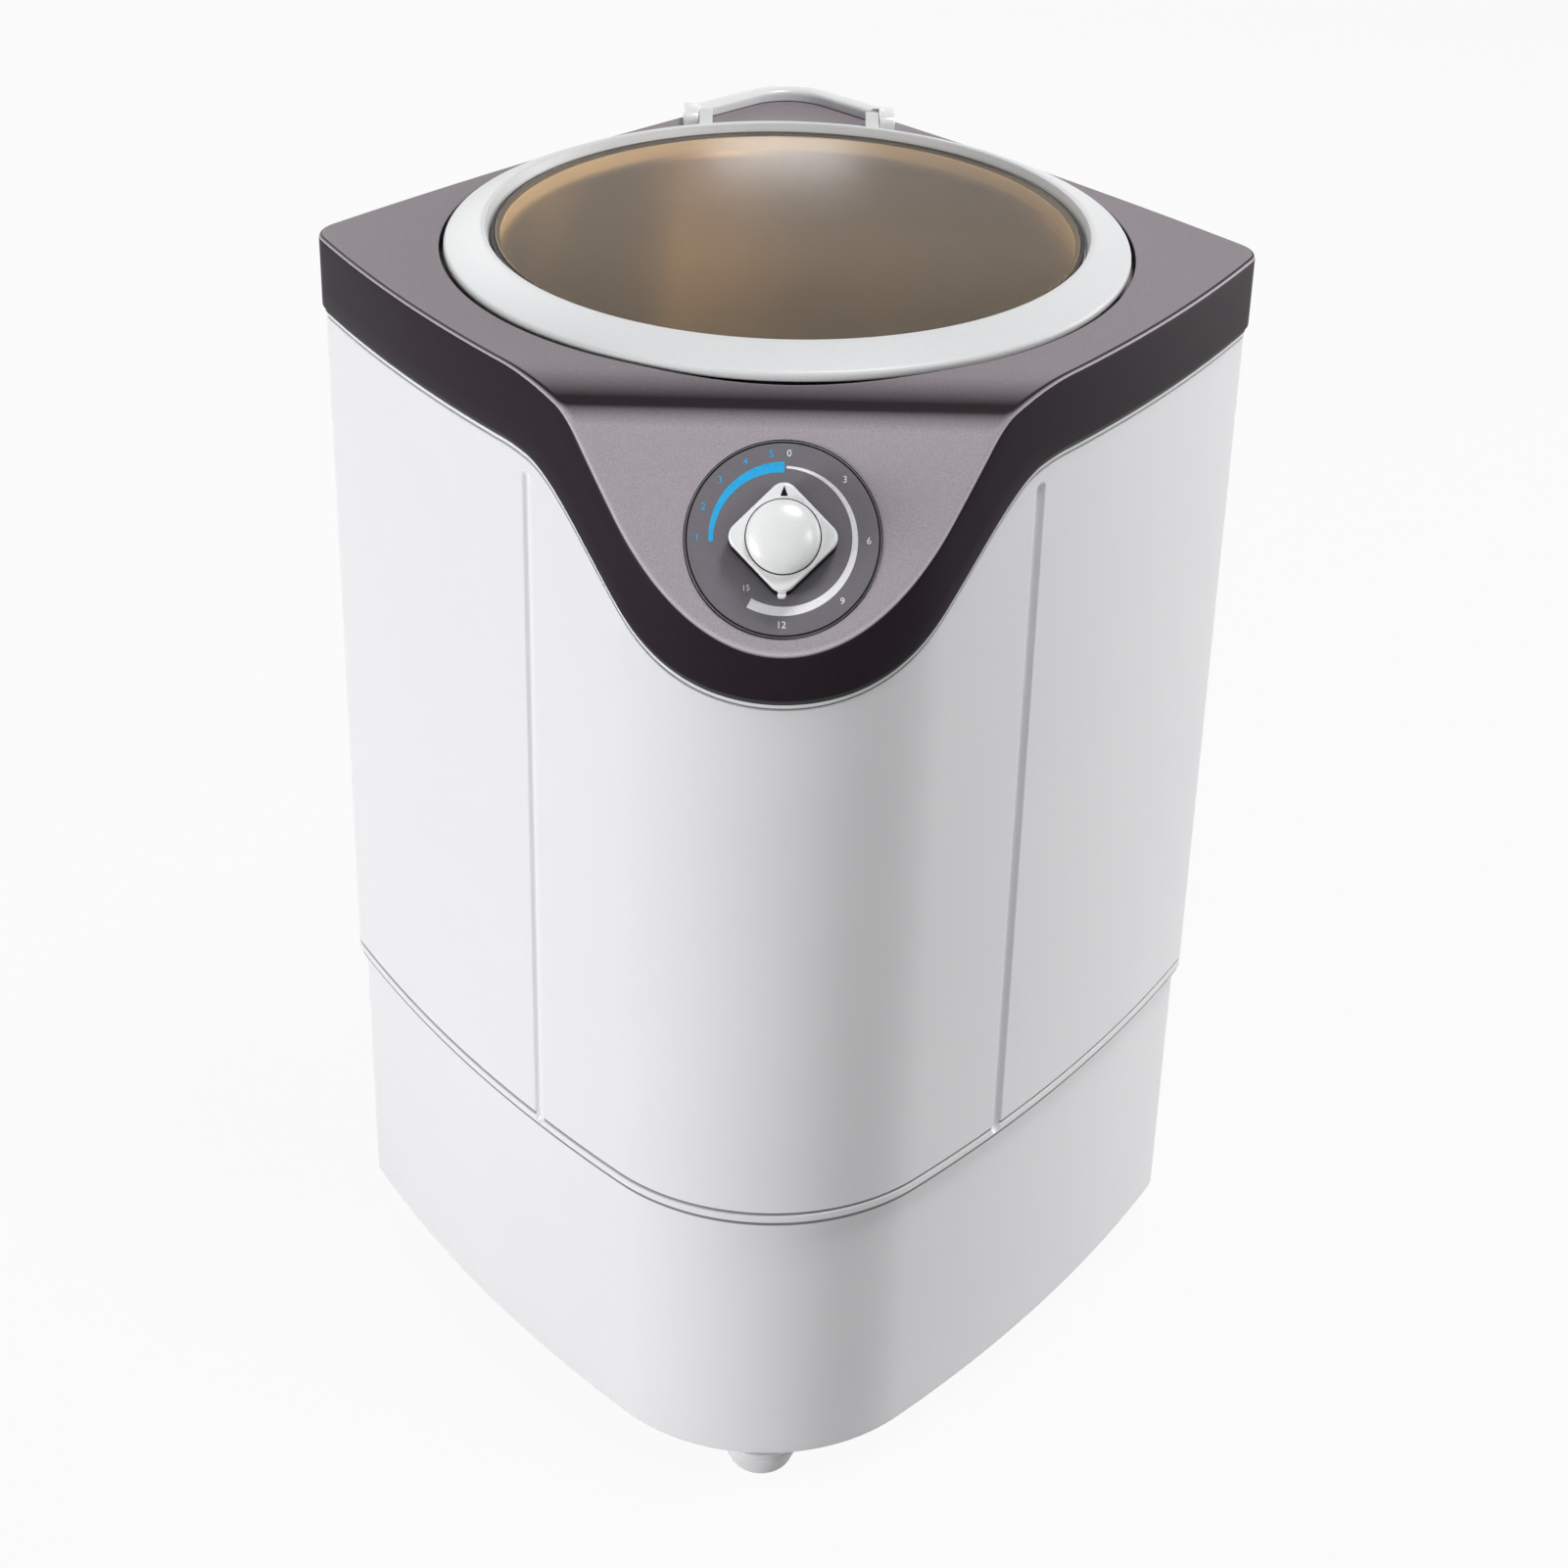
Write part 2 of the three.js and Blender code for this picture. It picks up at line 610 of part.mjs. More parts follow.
/** Height of the cover's underside, a wall's thickness inside the upper surface. */
function underHeight(point) {
  const slope = topHeight({ y: point.y + 1 }) - topHeight(point);
  const inner = topHeight(point) - WALL * Math.hypot(1, slope);
  return Math.min(inner, RECESS_Z - WALL);
}

const FACE_FOOT_Z = topHeight({ y: -HALF_DEPTH });

/** Height of the cover's lower edge at a sample: its band follows the upper edge. */
function bandFoot(sample) {
  const edge = topHeight(outlineAt(sample, 0));
  const share = (edge - FACE_FOOT_Z) / (TOP_Z - FACE_FOOT_Z);
  const bulge = 4 * BAND_BULGE * share * (1 - share);
  return edge - THREE.MathUtils.lerp(BAND_FRONT, BAND_SIDE, share) - bulge;
}

// ------------------------------------------------------------------------ the lid

const RECESS_RADIUS = REAR_REACH - LID_Y * HALF_ROOT - LID_LAND;
const FRAME_RADIUS = RECESS_RADIUS - RECESS_GAP;
const CREST_RADIUS = FRAME_RADIUS - RIM_WIDTH;
const POCKET_RADIUS = CREST_RADIUS - WINDOW_EDGE;
const FRAME_INNER = POCKET_RADIUS - POCKET_LEDGE;
const WINDOW_RADIUS = POCKET_RADIUS - GAP - GASKET_WIDTH - GAP;
const WINDOW_Z = TOP_Z + WINDOW_HIGH - WINDOW_THICKNESS;
const POCKET_Z = WINDOW_Z - GAP - GASKET_FOOT - GAP;
const HINGE_Z = TOP_Z + HINGE_RISE;
const HINGE_Y = LID_Y + Math.sqrt(FRAME_RADIUS ** 2 - HINGE_SPREAD ** 2) + HINGE_BEHIND;
const TUB_LEDGE_RADIUS = FRAME_INNER + TUB_LEDGE_LAP;
const OPENING_RADIUS = TUB_LEDGE_RADIUS - TUB_RIM_WIDTH - GAP;
const TUB_OUTER = OPENING_RADIUS - 2 * GAP;
const TUB_INNER = TUB_OUTER - TUB_WALL;

/** A cylinder along X at the hinge's axis, from one x to another. */
function hingeRod(radius, from, to, segments = COARSE) {
  const rod = disc(radius, from, to, segments).rotateY(Math.PI / 2);
  return rod.translate(0, HINGE_Y, HINGE_Z);
}

const KNUCKLE_OUTER = HINGE_SPREAD - POST_WIDTH / 2 - GAP;
const KNUCKLE_INNER = KNUCKLE_OUTER - KNUCKLE_WIDTH;
const PIN_BORE = PIN_RADIUS + GAP;

/** Lid frame: a sloping ring with a pocket for the window and two hinge knuckles. */
function lidFrame() {
  const crest = TOP_Z + CREST_HIGH;
  const profile = [
    [FRAME_INNER, LID_Z],
    [FRAME_INNER + FRAME_FOOT_WIDTH, LID_Z],
    [FRAME_INNER + FRAME_FOOT_WIDTH, TOP_Z + RIM_LOW],
    [FRAME_RADIUS, TOP_Z + RIM_LOW],
    [FRAME_RADIUS, TOP_Z + RIM_HIGH],
    [CREST_RADIUS + SMALL_ROUND, crest - SMALL_ROUND / 2],
    [CREST_RADIUS, crest],
    [CREST_RADIUS - SMALL_ROUND, crest - SMALL_ROUND / 2],
    [POCKET_RADIUS, POCKET_Z],
    [FRAME_INNER, POCKET_Z],
  ];
  let frame = turned(profile, FINE).translate(0, LID_Y, 0);
  for (const side of [-1, 1]) {
    const [low, high] = [side * KNUCKLE_INNER, side * KNUCKLE_OUTER].sort((a, b) => a - b);
    const reach = Math.sqrt(FRAME_RADIUS ** 2 - KNUCKLE_OUTER ** 2);
    const arm = block(
      [low, LID_Y + reach - ARM_BITE, HINGE_Z - KNUCKLE_RADIUS],
      [high, HINGE_Y, HINGE_Z + ARM_RISE],
    );
    const knuckle = hingeRod(KNUCKLE_RADIUS, low, high);
    const bore = hingeRod(PIN_BORE, low - CUT_MARGIN, high + CUT_MARGIN);
    frame = cut(join(frame, arm, knuckle), bore);
  }
  return frame;
}

/** Gasket between the window and its pocket, with a foot under the window. */
function windowGasket() {
  const outer = POCKET_RADIUS - GAP;
  const inner = outer - GASKET_WIDTH;
  const low = POCKET_Z + GAP;
  const footInner = FRAME_INNER + GAP;
  const profile = [
    [footInner, low],
    [outer, low],
    [outer, WINDOW_Z + WINDOW_THICKNESS - SMALL_ROUND],
    [inner, WINDOW_Z + WINDOW_THICKNESS - SMALL_ROUND],
    [inner, low + GASKET_FOOT],
    [footInner, low + GASKET_FOOT],
  ];
  return turned(profile, FINE);
}

/** Hinge rail: a raised bar round the rear corner between two hinge posts. */
function hingeRail() {
  const rear = OUTLINE.filter((sample) => {
    const point = outlineAt(sample, RAIL_INSET);
    return point.y > 0 && Math.abs(point.x) < HINGE_SPREAD;
  });
  const byX = rear.sort((a, b) => outlineAt(a, 0).x - outlineAt(b, 0).x);
  const sideLine = (inset) => REAR_REACH / HALF_ROOT - inset / HALF_ROOT - HINGE_SPREAD;
  const end = (side, inset) => new THREE.Vector2(side * HINGE_SPREAD, sideLine(inset));
  const edge = (inset) => [
    end(-1, inset),
    ...byX.map((sample) => outlineAt(sample, inset)),
    end(1, inset),
  ];
  const inner = edge(RAIL_INSET + RAIL_WIDTH).reverse();
  const postRear = sideLine(RAIL_INSET) - POST_WIDTH / 2;
  const shape = new THREE.Shape([...edge(RAIL_INSET), ...inner]);
  let rail = drawnUp(shape, TOP_Z + GAP, TOP_Z + RAIL_HEIGHT);
  for (const side of [-1, 1]) {
    const middle = side * HINGE_SPREAD;
    const post = block(
      [middle - POST_WIDTH / 2, HINGE_Y - POST_DEPTH / 2, TOP_Z + GAP],
      [middle + POST_WIDTH / 2, postRear, TOP_Z + POST_HEIGHT],
    );
    const bore = hingeRod(PIN_BORE, middle - POST_WIDTH, middle + POST_WIDTH);
    rail = cut(join(rail, post), bore);
  }
  return rail;
}

function lidPieces() {
  const window = disc(WINDOW_RADIUS, WINDOW_Z, WINDOW_Z + WINDOW_THICKNESS, FINE);
  const pinStart = KNUCKLE_INNER + PIN_SHORT;
  const pinEnd = HINGE_SPREAD + POST_WIDTH / 2 - PIN_SHORT;
  const pin = (side) => {
    const [low, high] = [side * pinStart, side * pinEnd].sort((a, b) => a - b);
    return hingeRod(PIN_RADIUS, low, high);
  };
  return [
    piece("lid_frame", lidFrame(), silverPlastic),
    piece("lid_window", window, smokedWindow, [0, LID_Y, 0]),
    piece("window_gasket", windowGasket(), rubber, [0, LID_Y, 0]),
    piece("hinge_rail", hingeRail(), silverPlastic),
    piece("hinge_pin_left", pin(-1), shaftSteel),
    piece("hinge_pin_right", pin(1), shaftSteel),
  ];
}

// ------------------------------------------------------------------------ the cover

const dialTilt = THREE.MathUtils.degToRad(FACE_TILT);
const dialCentre = [
  0,
  CREASE_Y - (DIAL_DROP - CREASE_DROP) / FACE_SLOPE,
  TOP_Z - DIAL_DROP,
];

/** Moves a geometry drawn round the dial's own axis to its place on the control face. */
const onDial = (geometry) => geometry.rotateX(dialTilt).translate(...dialCentre);

// Where the crease lies on the way from the edge to the lid, as a share of that way.
const LEAST_CREASE_SHARE = 0.12;
const MOST_CREASE_SHARE = 0.8;
const CREASE_BLEND = 0.6; // run of the rounded crease as a share of its height

/** Points of the cover's upper surface from a sample's edge in to the lid recess. */
function topRun(sample) {
  const start = outlineAt(sample, EDGE_ROUND);
  const end = roundAt(sample, RECESS_RADIUS);
  const toCrease = (CREASE_Y - start.y) / Math.max(end.y - start.y, 1);
  const crease = THREE.MathUtils.clamp(toCrease, LEAST_CREASE_SHARE, MOST_CREASE_SHARE);
  const blend = CREASE_BLEND * CREASE_ROUND;
  const reach = blend / Math.max(start.distanceTo(end), 4 * blend);
  const shares = [
    Math.max(crease - reach, crease / 2),
    crease,
    Math.min(crease + reach, (crease + 1) / 2),
    (crease + reach + 1) / 2,
  ];
  return shares.map((share) => start.clone().lerp(end, share));
}

const OPENING_STOCK = 4; // what the turned cutter takes off the swept opening

/** Cutter for the lid recess, the tub's ledge and the opening. */
function openingCutter() {
  const low = TUB_LEDGE_Z - 2 * WALL;
  const high = TOP_Z + WALL;
  const profile = [
    [0, low],
    [OPENING_RADIUS, low],
    [OPENING_RADIUS, TUB_LEDGE_Z],
    [TUB_LEDGE_RADIUS, TUB_LEDGE_Z],
    [TUB_LEDGE_RADIUS, RECESS_Z],
    [RECESS_RADIUS, RECESS_Z],
    [RECESS_RADIUS, high],
    [0, high],
  ];
  return turned(profile, FINE).translate(0, LID_Y, 0);
}

function coverSection(sample) {
  const at = (inset, drop = 0) => {
    const point = outlineAt(sample, inset);
    return [point, topHeight(point) - drop];
  };
  const round = (radius, z) => [roundAt(sample, radius), z];
  const outer = outlineAt(sample, 0);
  const inner = outlineAt(sample, COVER_INNER);
  const foot = bandFoot(sample);
  const run = topRun(sample);
  return [
    [outer, foot],
    [outer, topHeight(outer) - 1.1 * EDGE_ROUND],
    at(0.35 * EDGE_ROUND, 0.45 * EDGE_ROUND),
    at(EDGE_ROUND),
    ...run.map((point) => [point, topHeight(point)]),
    round(OPENING_RADIUS - OPENING_STOCK, TOP_Z),
    round(OPENING_RADIUS - OPENING_STOCK, TUB_LEDGE_Z - WALL),
    round(TUB_LEDGE_RADIUS + WALL, TUB_LEDGE_Z - WALL),
    round(TUB_LEDGE_RADIUS + WALL, RECESS_Z - WALL),
    ...run.reverse().map((point) => [point, underHeight(point)]),
    [inner, underHeight(inner)],
    [inner, foot],
  ];
}

const SCREW_BORE = SCREW_RADIUS + GAP;
const COVER_SCREW_Z = TOP_Z - BAND_SIDE + BAND_LIP / 2;
const BODY_SCREW_Z = SEAM_Z + SEAM_LINE_RISE / 2;

function topCover() {
  const dialPocket = onDial(disc(DIAL_RADIUS + GAP, -DIAL_POCKET, DRILL_REACH, FINE));
  const shaftBore = TIMER_SHAFT_RADIUS + TIMER_SHAFT_CLEARANCE;
  const shaftHole = onDial(disc(shaftBore, -DRILL_REACH, DRILL_REACH, COARSE));
  const screwHoles = [-1, 1].map((side) => rearDrill(side, SCREW_BORE, COVER_SCREW_Z));
  return cut(swept(coverSection), openingCutter(), dialPocket, shaftHole, ...screwHoles);
}

// ---------------------------------------------------------------- body, base and deck

function bodySection(sample) {
  const dent = sample.groove ? GROOVE_DEPTH : 0;
  const edge = bandFoot(sample);
  const lineLow = SEAM_Z + SEAM_LINE_RISE;
  const lineHigh = lineLow + SEAM_LINE_WIDTH;
  const line = BODY_INSET + Math.max(SEAM_LINE_DEPTH, dent);
  const grooveTop = edge - GROOVE_TOP_BELOW;
  const ledgeZ = DECK_TOP + GAP;
  const at = (inset, z) => [outlineAt(sample, inset), z];
  return [
    at(BODY_INSET + dent, SEAM_Z),
    at(BODY_INSET + dent, lineLow),
    at(line, lineLow + SEAM_LINE_FLANK),
    at(line, lineHigh - SEAM_LINE_FLANK),
    at(BODY_INSET + dent, lineHigh),
    at(BODY_INSET + dent, grooveTop),
    at(BODY_INSET, grooveTop + GROOVE_END_RISE),
    at(BODY_INSET, edge - 2 * GAP),
    at(LIP_INSET, edge - 2 * GAP),
    at(LIP_INSET, edge + BAND_LIP),
    at(BODY_INNER, edge + BAND_LIP),
    at(BODY_INNER, ledgeZ + WALL),
    at(BODY_INNER + LEDGE, ledgeZ + WALL),
    at(BODY_INNER + LEDGE, ledgeZ),
    at(BODY_INNER, ledgeZ),
    at(BODY_INNER, SEAM_Z),
  ];
}

function bodyShell() {
  const screwHoles = [-1, 1].flatMap((side) => [
    rearDrill(side, SCREW_BORE, COVER_SCREW_Z),
    rearDrill(side, SCREW_BORE, BODY_SCREW_Z),
  ]);
  return cut(swept(bodySection), ...screwHoles);
}

function baseSection(sample) {
  const at = (inset, z) => [outlineAt(sample, inset), z];
  const hatch = roundAt(sample, HATCH_RADIUS);
  const bend = (1 - HALF_ROOT) * BASE_CHAMFER;
  return [
    at(BASE_INSET + BASE_CHAMFER, FOOT_HEIGHT),
    at(BASE_INSET + bend, FOOT_HEIGHT + bend),
    at(BASE_INSET, FOOT_HEIGHT + BASE_CHAMFER),
    at(BASE_INSET, SEAM_Z + LAP),
    at(BASE_INNER, SEAM_Z + LAP),
    at(BASE_INNER, FOOT_HEIGHT + WALL),
    [hatch, FOOT_HEIGHT + WALL],
    [hatch, FOOT_HEIGHT],
  ];
}

const FEET = {
  front: [0, -HALF_DEPTH + FOOT_EDGE],
  rear: [0, HALF_DEPTH - FOOT_REAR_EDGE],
  left: [-HALF_WIDTH + FOOT_SIDE_EDGE, 0],
  right: [HALF_WIDTH - FOOT_SIDE_EDGE, 0],
};
const HATCH_SCREW_RADIUS = HATCH_RADIUS + HATCH_OVERLAP / 2;
const HATCH_SCREWS = [45, 135, 225, 315].map((degrees) => {
  const angle = THREE.MathUtils.degToRad(degrees);
  return [
    HATCH_SCREW_RADIUS * Math.cos(angle),
    LID_Y + HATCH_SCREW_RADIUS * Math.sin(angle),
  ];
});
const DRAIN_OUTER = DRAIN_BORE + DRAIN_WALL;

function baseShell() {
  const floorHole = (radius, [x, y]) => {
    const high = FOOT_HEIGHT + WALL + CUT_MARGIN;
    return disc(radius, FOOT_HEIGHT - CUT_MARGIN, high, COARSE).translate(x, y, 0);
  };
  return cut(
    swept(baseSection),
    ...Object.values(FEET).map((at) => floorHole(FOOT_STUD_RADIUS + GAP, at)),
    ...HATCH_SCREWS.map((at) => floorHole(SCREW_BORE, at)),
    ...[-1, 1].map((side) => rearDrill(side, SCREW_BORE, BODY_SCREW_Z)),
    rearDrill(-1, DRAIN_OUTER + GAP, DRAIN_Z),
    rearDrill(1, GLAND_RADIUS + GAP, GLAND_Z),
  );
}

function deckSection(sample) {
  const at = (inset, z) => [outlineAt(sample, inset), z];
  const round = (radius, z) => [roundAt(sample, radius), z];
  const seatOuter = SEAT_RADIUS + SEAT_WIDTH / 2;
  const seatInner = SEAT_RADIUS - SEAT_WIDTH / 2;
  return [
    at(BASE_INSET, DECK_Z),
    at(BASE_INSET, DECK_TOP),
    round(seatOuter, DECK_TOP),
    round(seatOuter, DECK_TOP + SEAT_HEIGHT),
    round(seatInner, DECK_TOP + SEAT_HEIGHT),
    round(seatInner, DECK_TOP),
    round(HOUSING_RADIUS + HOUSING_CLEARANCE, DECK_TOP),
    round(HOUSING_RADIUS + HOUSING_CLEARANCE, DECK_Z),
  ];
}

const MOTOR_Y = HALF_DEPTH - MOTOR_EDGE;
const SHAFT_DISTANCE = MOTOR_Y - LID_Y;
const MOTOR_MOUNTS = [-1, 1].flatMap((x) =>
  [-1, 1].map((y) => [x * MOTOR_MOUNT_X, MOTOR_Y + y * MOTOR_MOUNT_Y]),
);
const BOLT_BORE = BOLT_RADIUS + GAP;

function supportDeck() {
  const hole = (radius, [x, y]) =>
    disc(radius, DECK_Z - CUT_MARGIN, DECK_TOP + CUT_MARGIN, COARSE).translate(x, y, 0);
  return cut(
    swept(deckSection),
    ...MOTOR_MOUNTS.map((at) => hole(BOLT_BORE, at)),
    hole(DRAIN_OUTER + GAP, [DRAIN_X, LID_Y]),
  );
}

/** Service hatch under the base, with vent slots. */
function bottomPlate() {
  const plate = disc(
    HATCH_RADIUS + HATCH_OVERLAP,
    FOOT_HEIGHT - WALL - GAP,
    FOOT_HEIGHT - GAP,
    FINE,
  );
  const slots = [-3, -2, -1, 1, 2, 3].map((row) => {
    const y = row * VENT_PITCH;
    return block(
      [-VENT_LENGTH / 2, y - VENT_WIDTH / 2, 0],
      [VENT_LENGTH / 2, y + VENT_WIDTH / 2, FOOT_HEIGHT],
    );
  });
  const screwHoles = HATCH_SCREWS.map(([x, y]) =>
    disc(SCREW_BORE, 0, FOOT_HEIGHT, COARSE).translate(x, y - LID_Y, 0),
  );
  return cut(plate, ...slots, ...screwHoles);
}

function foot() {
  const top = FOOT_HEIGHT - GAP;
  const studTop = FOOT_HEIGHT + WALL + FOOT_STUD_REACH;
  return turned([
    [0, 0],
    [FOOT_TIP_RADIUS, 0],
    [FOOT_TIP_RADIUS + FOOT_TIP_FLARE, FOOT_TIP_HEIGHT],
    [FOOT_RADIUS, top - FOOT_COLLAR],
    [FOOT_RADIUS, top],
    [FOOT_STUD_RADIUS, top],
    [FOOT_STUD_RADIUS, studTop],
    [0, studTop],
  ]);
}

/** A screw along Z: its head is below z = 0 and its shank above. */
function screw(length, radius = SCREW_RADIUS, headRadius = SCREW_HEAD_RADIUS) {
  const profile = [
    [0, -SCREW_HEAD_HEIGHT],
    [headRadius * SCREW_HEAD_TAPER, -SCREW_HEAD_HEIGHT],
    [headRadius, 0],
    [radius, 0],
    [radius, length],
    [0, length],
  ];
  return turned(profile, SCREW_FACETS);
}

function shellPieces() {
  const shellScrew = screw(2 * WALL + SCREW_REACH);
  const feet = Object.entries(FEET).map(([where, [x, y]]) =>
    piece(`foot_${where}`, foot(), greyRubber, [x, y, 0]),
  );
  const hatchZ = FOOT_HEIGHT - WALL - 2 * GAP;
  const hatchScrews = HATCH_SCREWS.map(([x, y], i) =>
    piece(`hatch_screw_${i + 1}`, shellScrew, screwSteel, [x, y, hatchZ]),
  );
  const rearScrews = Object.entries({ left: -1, right: 1 }).flatMap(([where, side]) => {
    const inward = outOfRear(side).multiply(
      new THREE.Quaternion().setFromAxisAngle(new THREE.Vector3(1, 0, 0), Math.PI),
    );
    const coverAt = onRearLine(side, REAR_REACH + GAP, COVER_SCREW_Z);
    const bodyAt = onRearLine(side, REAR_REACH - BODY_INSET + GAP, BODY_SCREW_Z);
    return [
      piece(`cover_screw_${where}`, shellScrew, screwSteel, coverAt, inward),
      piece(`body_screw_${where}`, shellScrew, screwSteel, bodyAt, inward),
    ];
  });
  return [
    piece("top_cover", topCover(), coverPlastic),
    piece("body_shell", bodyShell(), whitePlastic),
    piece("base_shell", baseShell(), whitePlastic),
    piece("support_deck", supportDeck(), greyPlastic),
    piece("bottom_plate", bottomPlate(), greyPlastic, [0, LID_Y, 0]),
    ...feet,
    ...hatchScrews,
    ...rearScrews,
  ];
}

// ------------------------------------------------------------------ tub and pulsator

const TUB_RIM_Z = TUB_LEDGE_Z + GAP + TUB_GASKET_HEIGHT + GAP;

/** Steel tub: a rolled rim that hangs in the cover, a straight wall and a round bottom. */
function washTub() {
  const corner = (radius, steps) =>
    Array.from({ length: steps + 1 }, (_, i) => {
      const angle = (i / steps) * (Math.PI / 2);
      const middle = TUB_OUTER - TUB_CORNER_RADIUS;
      return [
        middle + radius * Math.sin(angle),
        TUB_BOTTOM + TUB_CORNER_RADIUS - radius * Math.cos(angle),
      ];
    });
  const rimOuter = TUB_LEDGE_RADIUS - 2 * GAP;
  const rimTop = TUB_RIM_Z + TUB_RIM_HEIGHT;
  const profile = [
    [NECK_RADIUS + GAP, TUB_BOTTOM],
    ...corner(TUB_CORNER_RADIUS, BEND_FACETS),
    [TUB_OUTER, TUB_RIM_Z],
    [rimOuter, TUB_RIM_Z],
    [rimOuter, rimTop - TUB_RIM_ROUND],
    [rimOuter - TUB_RIM_ROUND, rimTop],
    [TUB_INNER + TUB_RIM_ROUND, rimTop],
    [TUB_INNER, rimTop - TUB_RIM_ROUND],
    ...corner(TUB_CORNER_RADIUS - TUB_WALL, BEND_FACETS).reverse(),
    [NECK_RADIUS + GAP, TUB_BOTTOM + TUB_WALL],
  ];
  const [low, high] = [TUB_BOTTOM - CUT_MARGIN, TUB_BOTTOM + TUB_WALL + CUT_MARGIN];
  const drain = disc(DRAIN_OUTER + GAP, low, high, COARSE);
  return cut(turned(profile, FINE), drain.translate(DRAIN_X, 0, 0));
}

const PULSATOR_Z = TUB_BOTTOM + PULSATOR_LIFT;
const PULSATOR_SEAT = PULSATOR_Z + PULSATOR_SEAT_RISE;
const PULSATOR_HUB_TOP = PULSATOR_SEAT + PULSATOR_CAP;
const PULSATOR_SCREW_BORE = PULSATOR_SCREW_RADIUS + GAP;

/** Pulsator: a domed disc with straight fins and a hub on the shaft. */
function pulsator() {
  const bore = SHAFT_RADIUS + GAP;
  const rimLow = PULSATOR_Z + PULSATOR_RIM_RISE;
  const profile = [
    [bore, PULSATOR_Z],
    [PULSATOR_RADIUS - PULSATOR_RIM_WIDTH, PULSATOR_Z],
    [PULSATOR_RADIUS, rimLow],
    [PULSATOR_RADIUS, rimLow + PULSATOR_RIM_HEIGHT],
    [PULSATOR_RADIUS - PULSATOR_SHOULDER, PULSATOR_Z + PULSATOR_CROWN],
    [PULSATOR_HUB_RADIUS + PULSATOR_HUB_FLARE, PULSATOR_Z + PULSATOR_HUB_RISE],
    [PULSATOR_HUB_RADIUS, PULSATOR_HUB_TOP],
    [PULSATOR_SCREW_BORE, PULSATOR_HUB_TOP],
    [PULSATOR_SCREW_BORE, PULSATOR_SEAT + GAP],
    [bore, PULSATOR_SEAT + GAP],
  ];
  let body = turned(profile, PULSATOR_FACETS);
  const fin = block(
    [FIN_INNER, -FIN_WIDTH / 2, PULSATOR_Z + FIN_FOOT],
    [PULSATOR_RADIUS - FIN_EDGE, FIN_WIDTH / 2, PULSATOR_Z + FIN_HEIGHT],
  );
  for (let i = 0; i < PULSATOR_FINS; i++) {
    body = join(body, fin.clone().rotateZ((i * 2 * Math.PI) / PULSATOR_FINS));
  }
  return body;
}

/** Drive shaft with a blind hole for the pulsator's screw. */
function driveShaft() {
  const holeEnd = PULSATOR_SEAT - PULSATOR_SCREW_REACH - SCREW_HOLE_SPARE;
  return turned([
    [0, SHAFT_BOTTOM],
    [SHAFT_RADIUS, SHAFT_BOTTOM],
    [SHAFT_RADIUS, PULSATOR_SEAT],
    [PULSATOR_SCREW_BORE, PULSATOR_SEAT],
    [PULSATOR_SCREW_BORE, holeEnd],
    [0, holeEnd],
  ]);
}

const HOUSING_TOP = TUB_BOTTOM + NECK_RISE;
const SEAL_Z = HOUSING_TOP - SEAL_HEIGHT;
const UPPER_BEARING_Z = SEAL_Z - GAP - BEARING_HEIGHT;

/** Bearing housing: a flange on the deck, a neck through the tub and two bearing seats. */
function shaftHousing() {
  const seat = BEARING_RADIUS + GAP;
  const bore = SHAFT_RADIUS + SHAFT_CLEARANCE;
  const flangeZ = DECK_TOP + GAP;
  return turned([
    [seat, HOUSING_BOTTOM],
    [HOUSING_RADIUS, HOUSING_BOTTOM],
    [HOUSING_RADIUS, flangeZ],
    [HOUSING_FLANGE, flangeZ],
    [HOUSING_FLANGE, flangeZ + HOUSING_FLANGE_THICKNESS],
    [NECK_RADIUS, flangeZ + HOUSING_FLANGE_THICKNESS],
    [NECK_RADIUS, HOUSING_TOP],
    [seat, HOUSING_TOP],
    [seat, UPPER_BEARING_Z - GAP],
    [bore, UPPER_BEARING_Z - GAP],
    [bore, HOUSING_BOTTOM + BEARING_HEIGHT + 2 * GAP],
    [seat, HOUSING_BOTTOM + BEARING_HEIGHT + 2 * GAP],
  ]);
}

const bearingRing = () =>
  tube(SHAFT_RADIUS + GAP, BEARING_RADIUS, 0, BEARING_HEIGHT);

/** A pulley with a flat-bottomed groove; web thins it between hub and rim. */
function pulley(radius, bore, web) {
  const top = PULLEY_HEIGHT;
  const outer = radius + PULLEY_FLANGE;
  const groove = [
    [outer, 0],
    [outer, PULLEY_LIP],
    [radius, PULLEY_LIP + PULLEY_LIP_TAPER],
    [radius, top - PULLEY_LIP - PULLEY_LIP_TAPER],
    [outer, top - PULLEY_LIP],
    [outer, top],
  ];
  if (!web) return turned([[bore, 0], ...groove, [bore, top]]);
  const hub = bore + PULLEY_HUB_WIDTH;
  const rim = radius - PULLEY_RIM_WIDTH;
  return turned([
    [bore, 0],
    ...groove,
    [rim, top],
    [rim, PULLEY_WEB],
    [hub, PULLEY_WEB],
    [hub, top + PULLEY_HUB_RISE],
    [bore, top + PULLEY_HUB_RISE],
  ], PULSATOR_FACETS);
}

/** Outline of a belt round both pulleys, drawn at a distance from their grooves. */
function beltOutline(distance) {
  const large = DRIVE_PULLEY_RADIUS + distance;
  const small = MOTOR_PULLEY_RADIUS + distance;
  const lean = Math.asin((large - small) / SHAFT_DISTANCE);
  const shape = new THREE.Path();
  shape.absarc(0, 0, large, Math.PI - lean, lean, false);
  shape.absarc(0, SHAFT_DISTANCE, small, lean, Math.PI - lean, false);
  return shape.getPoints(BELT_FACETS);
}

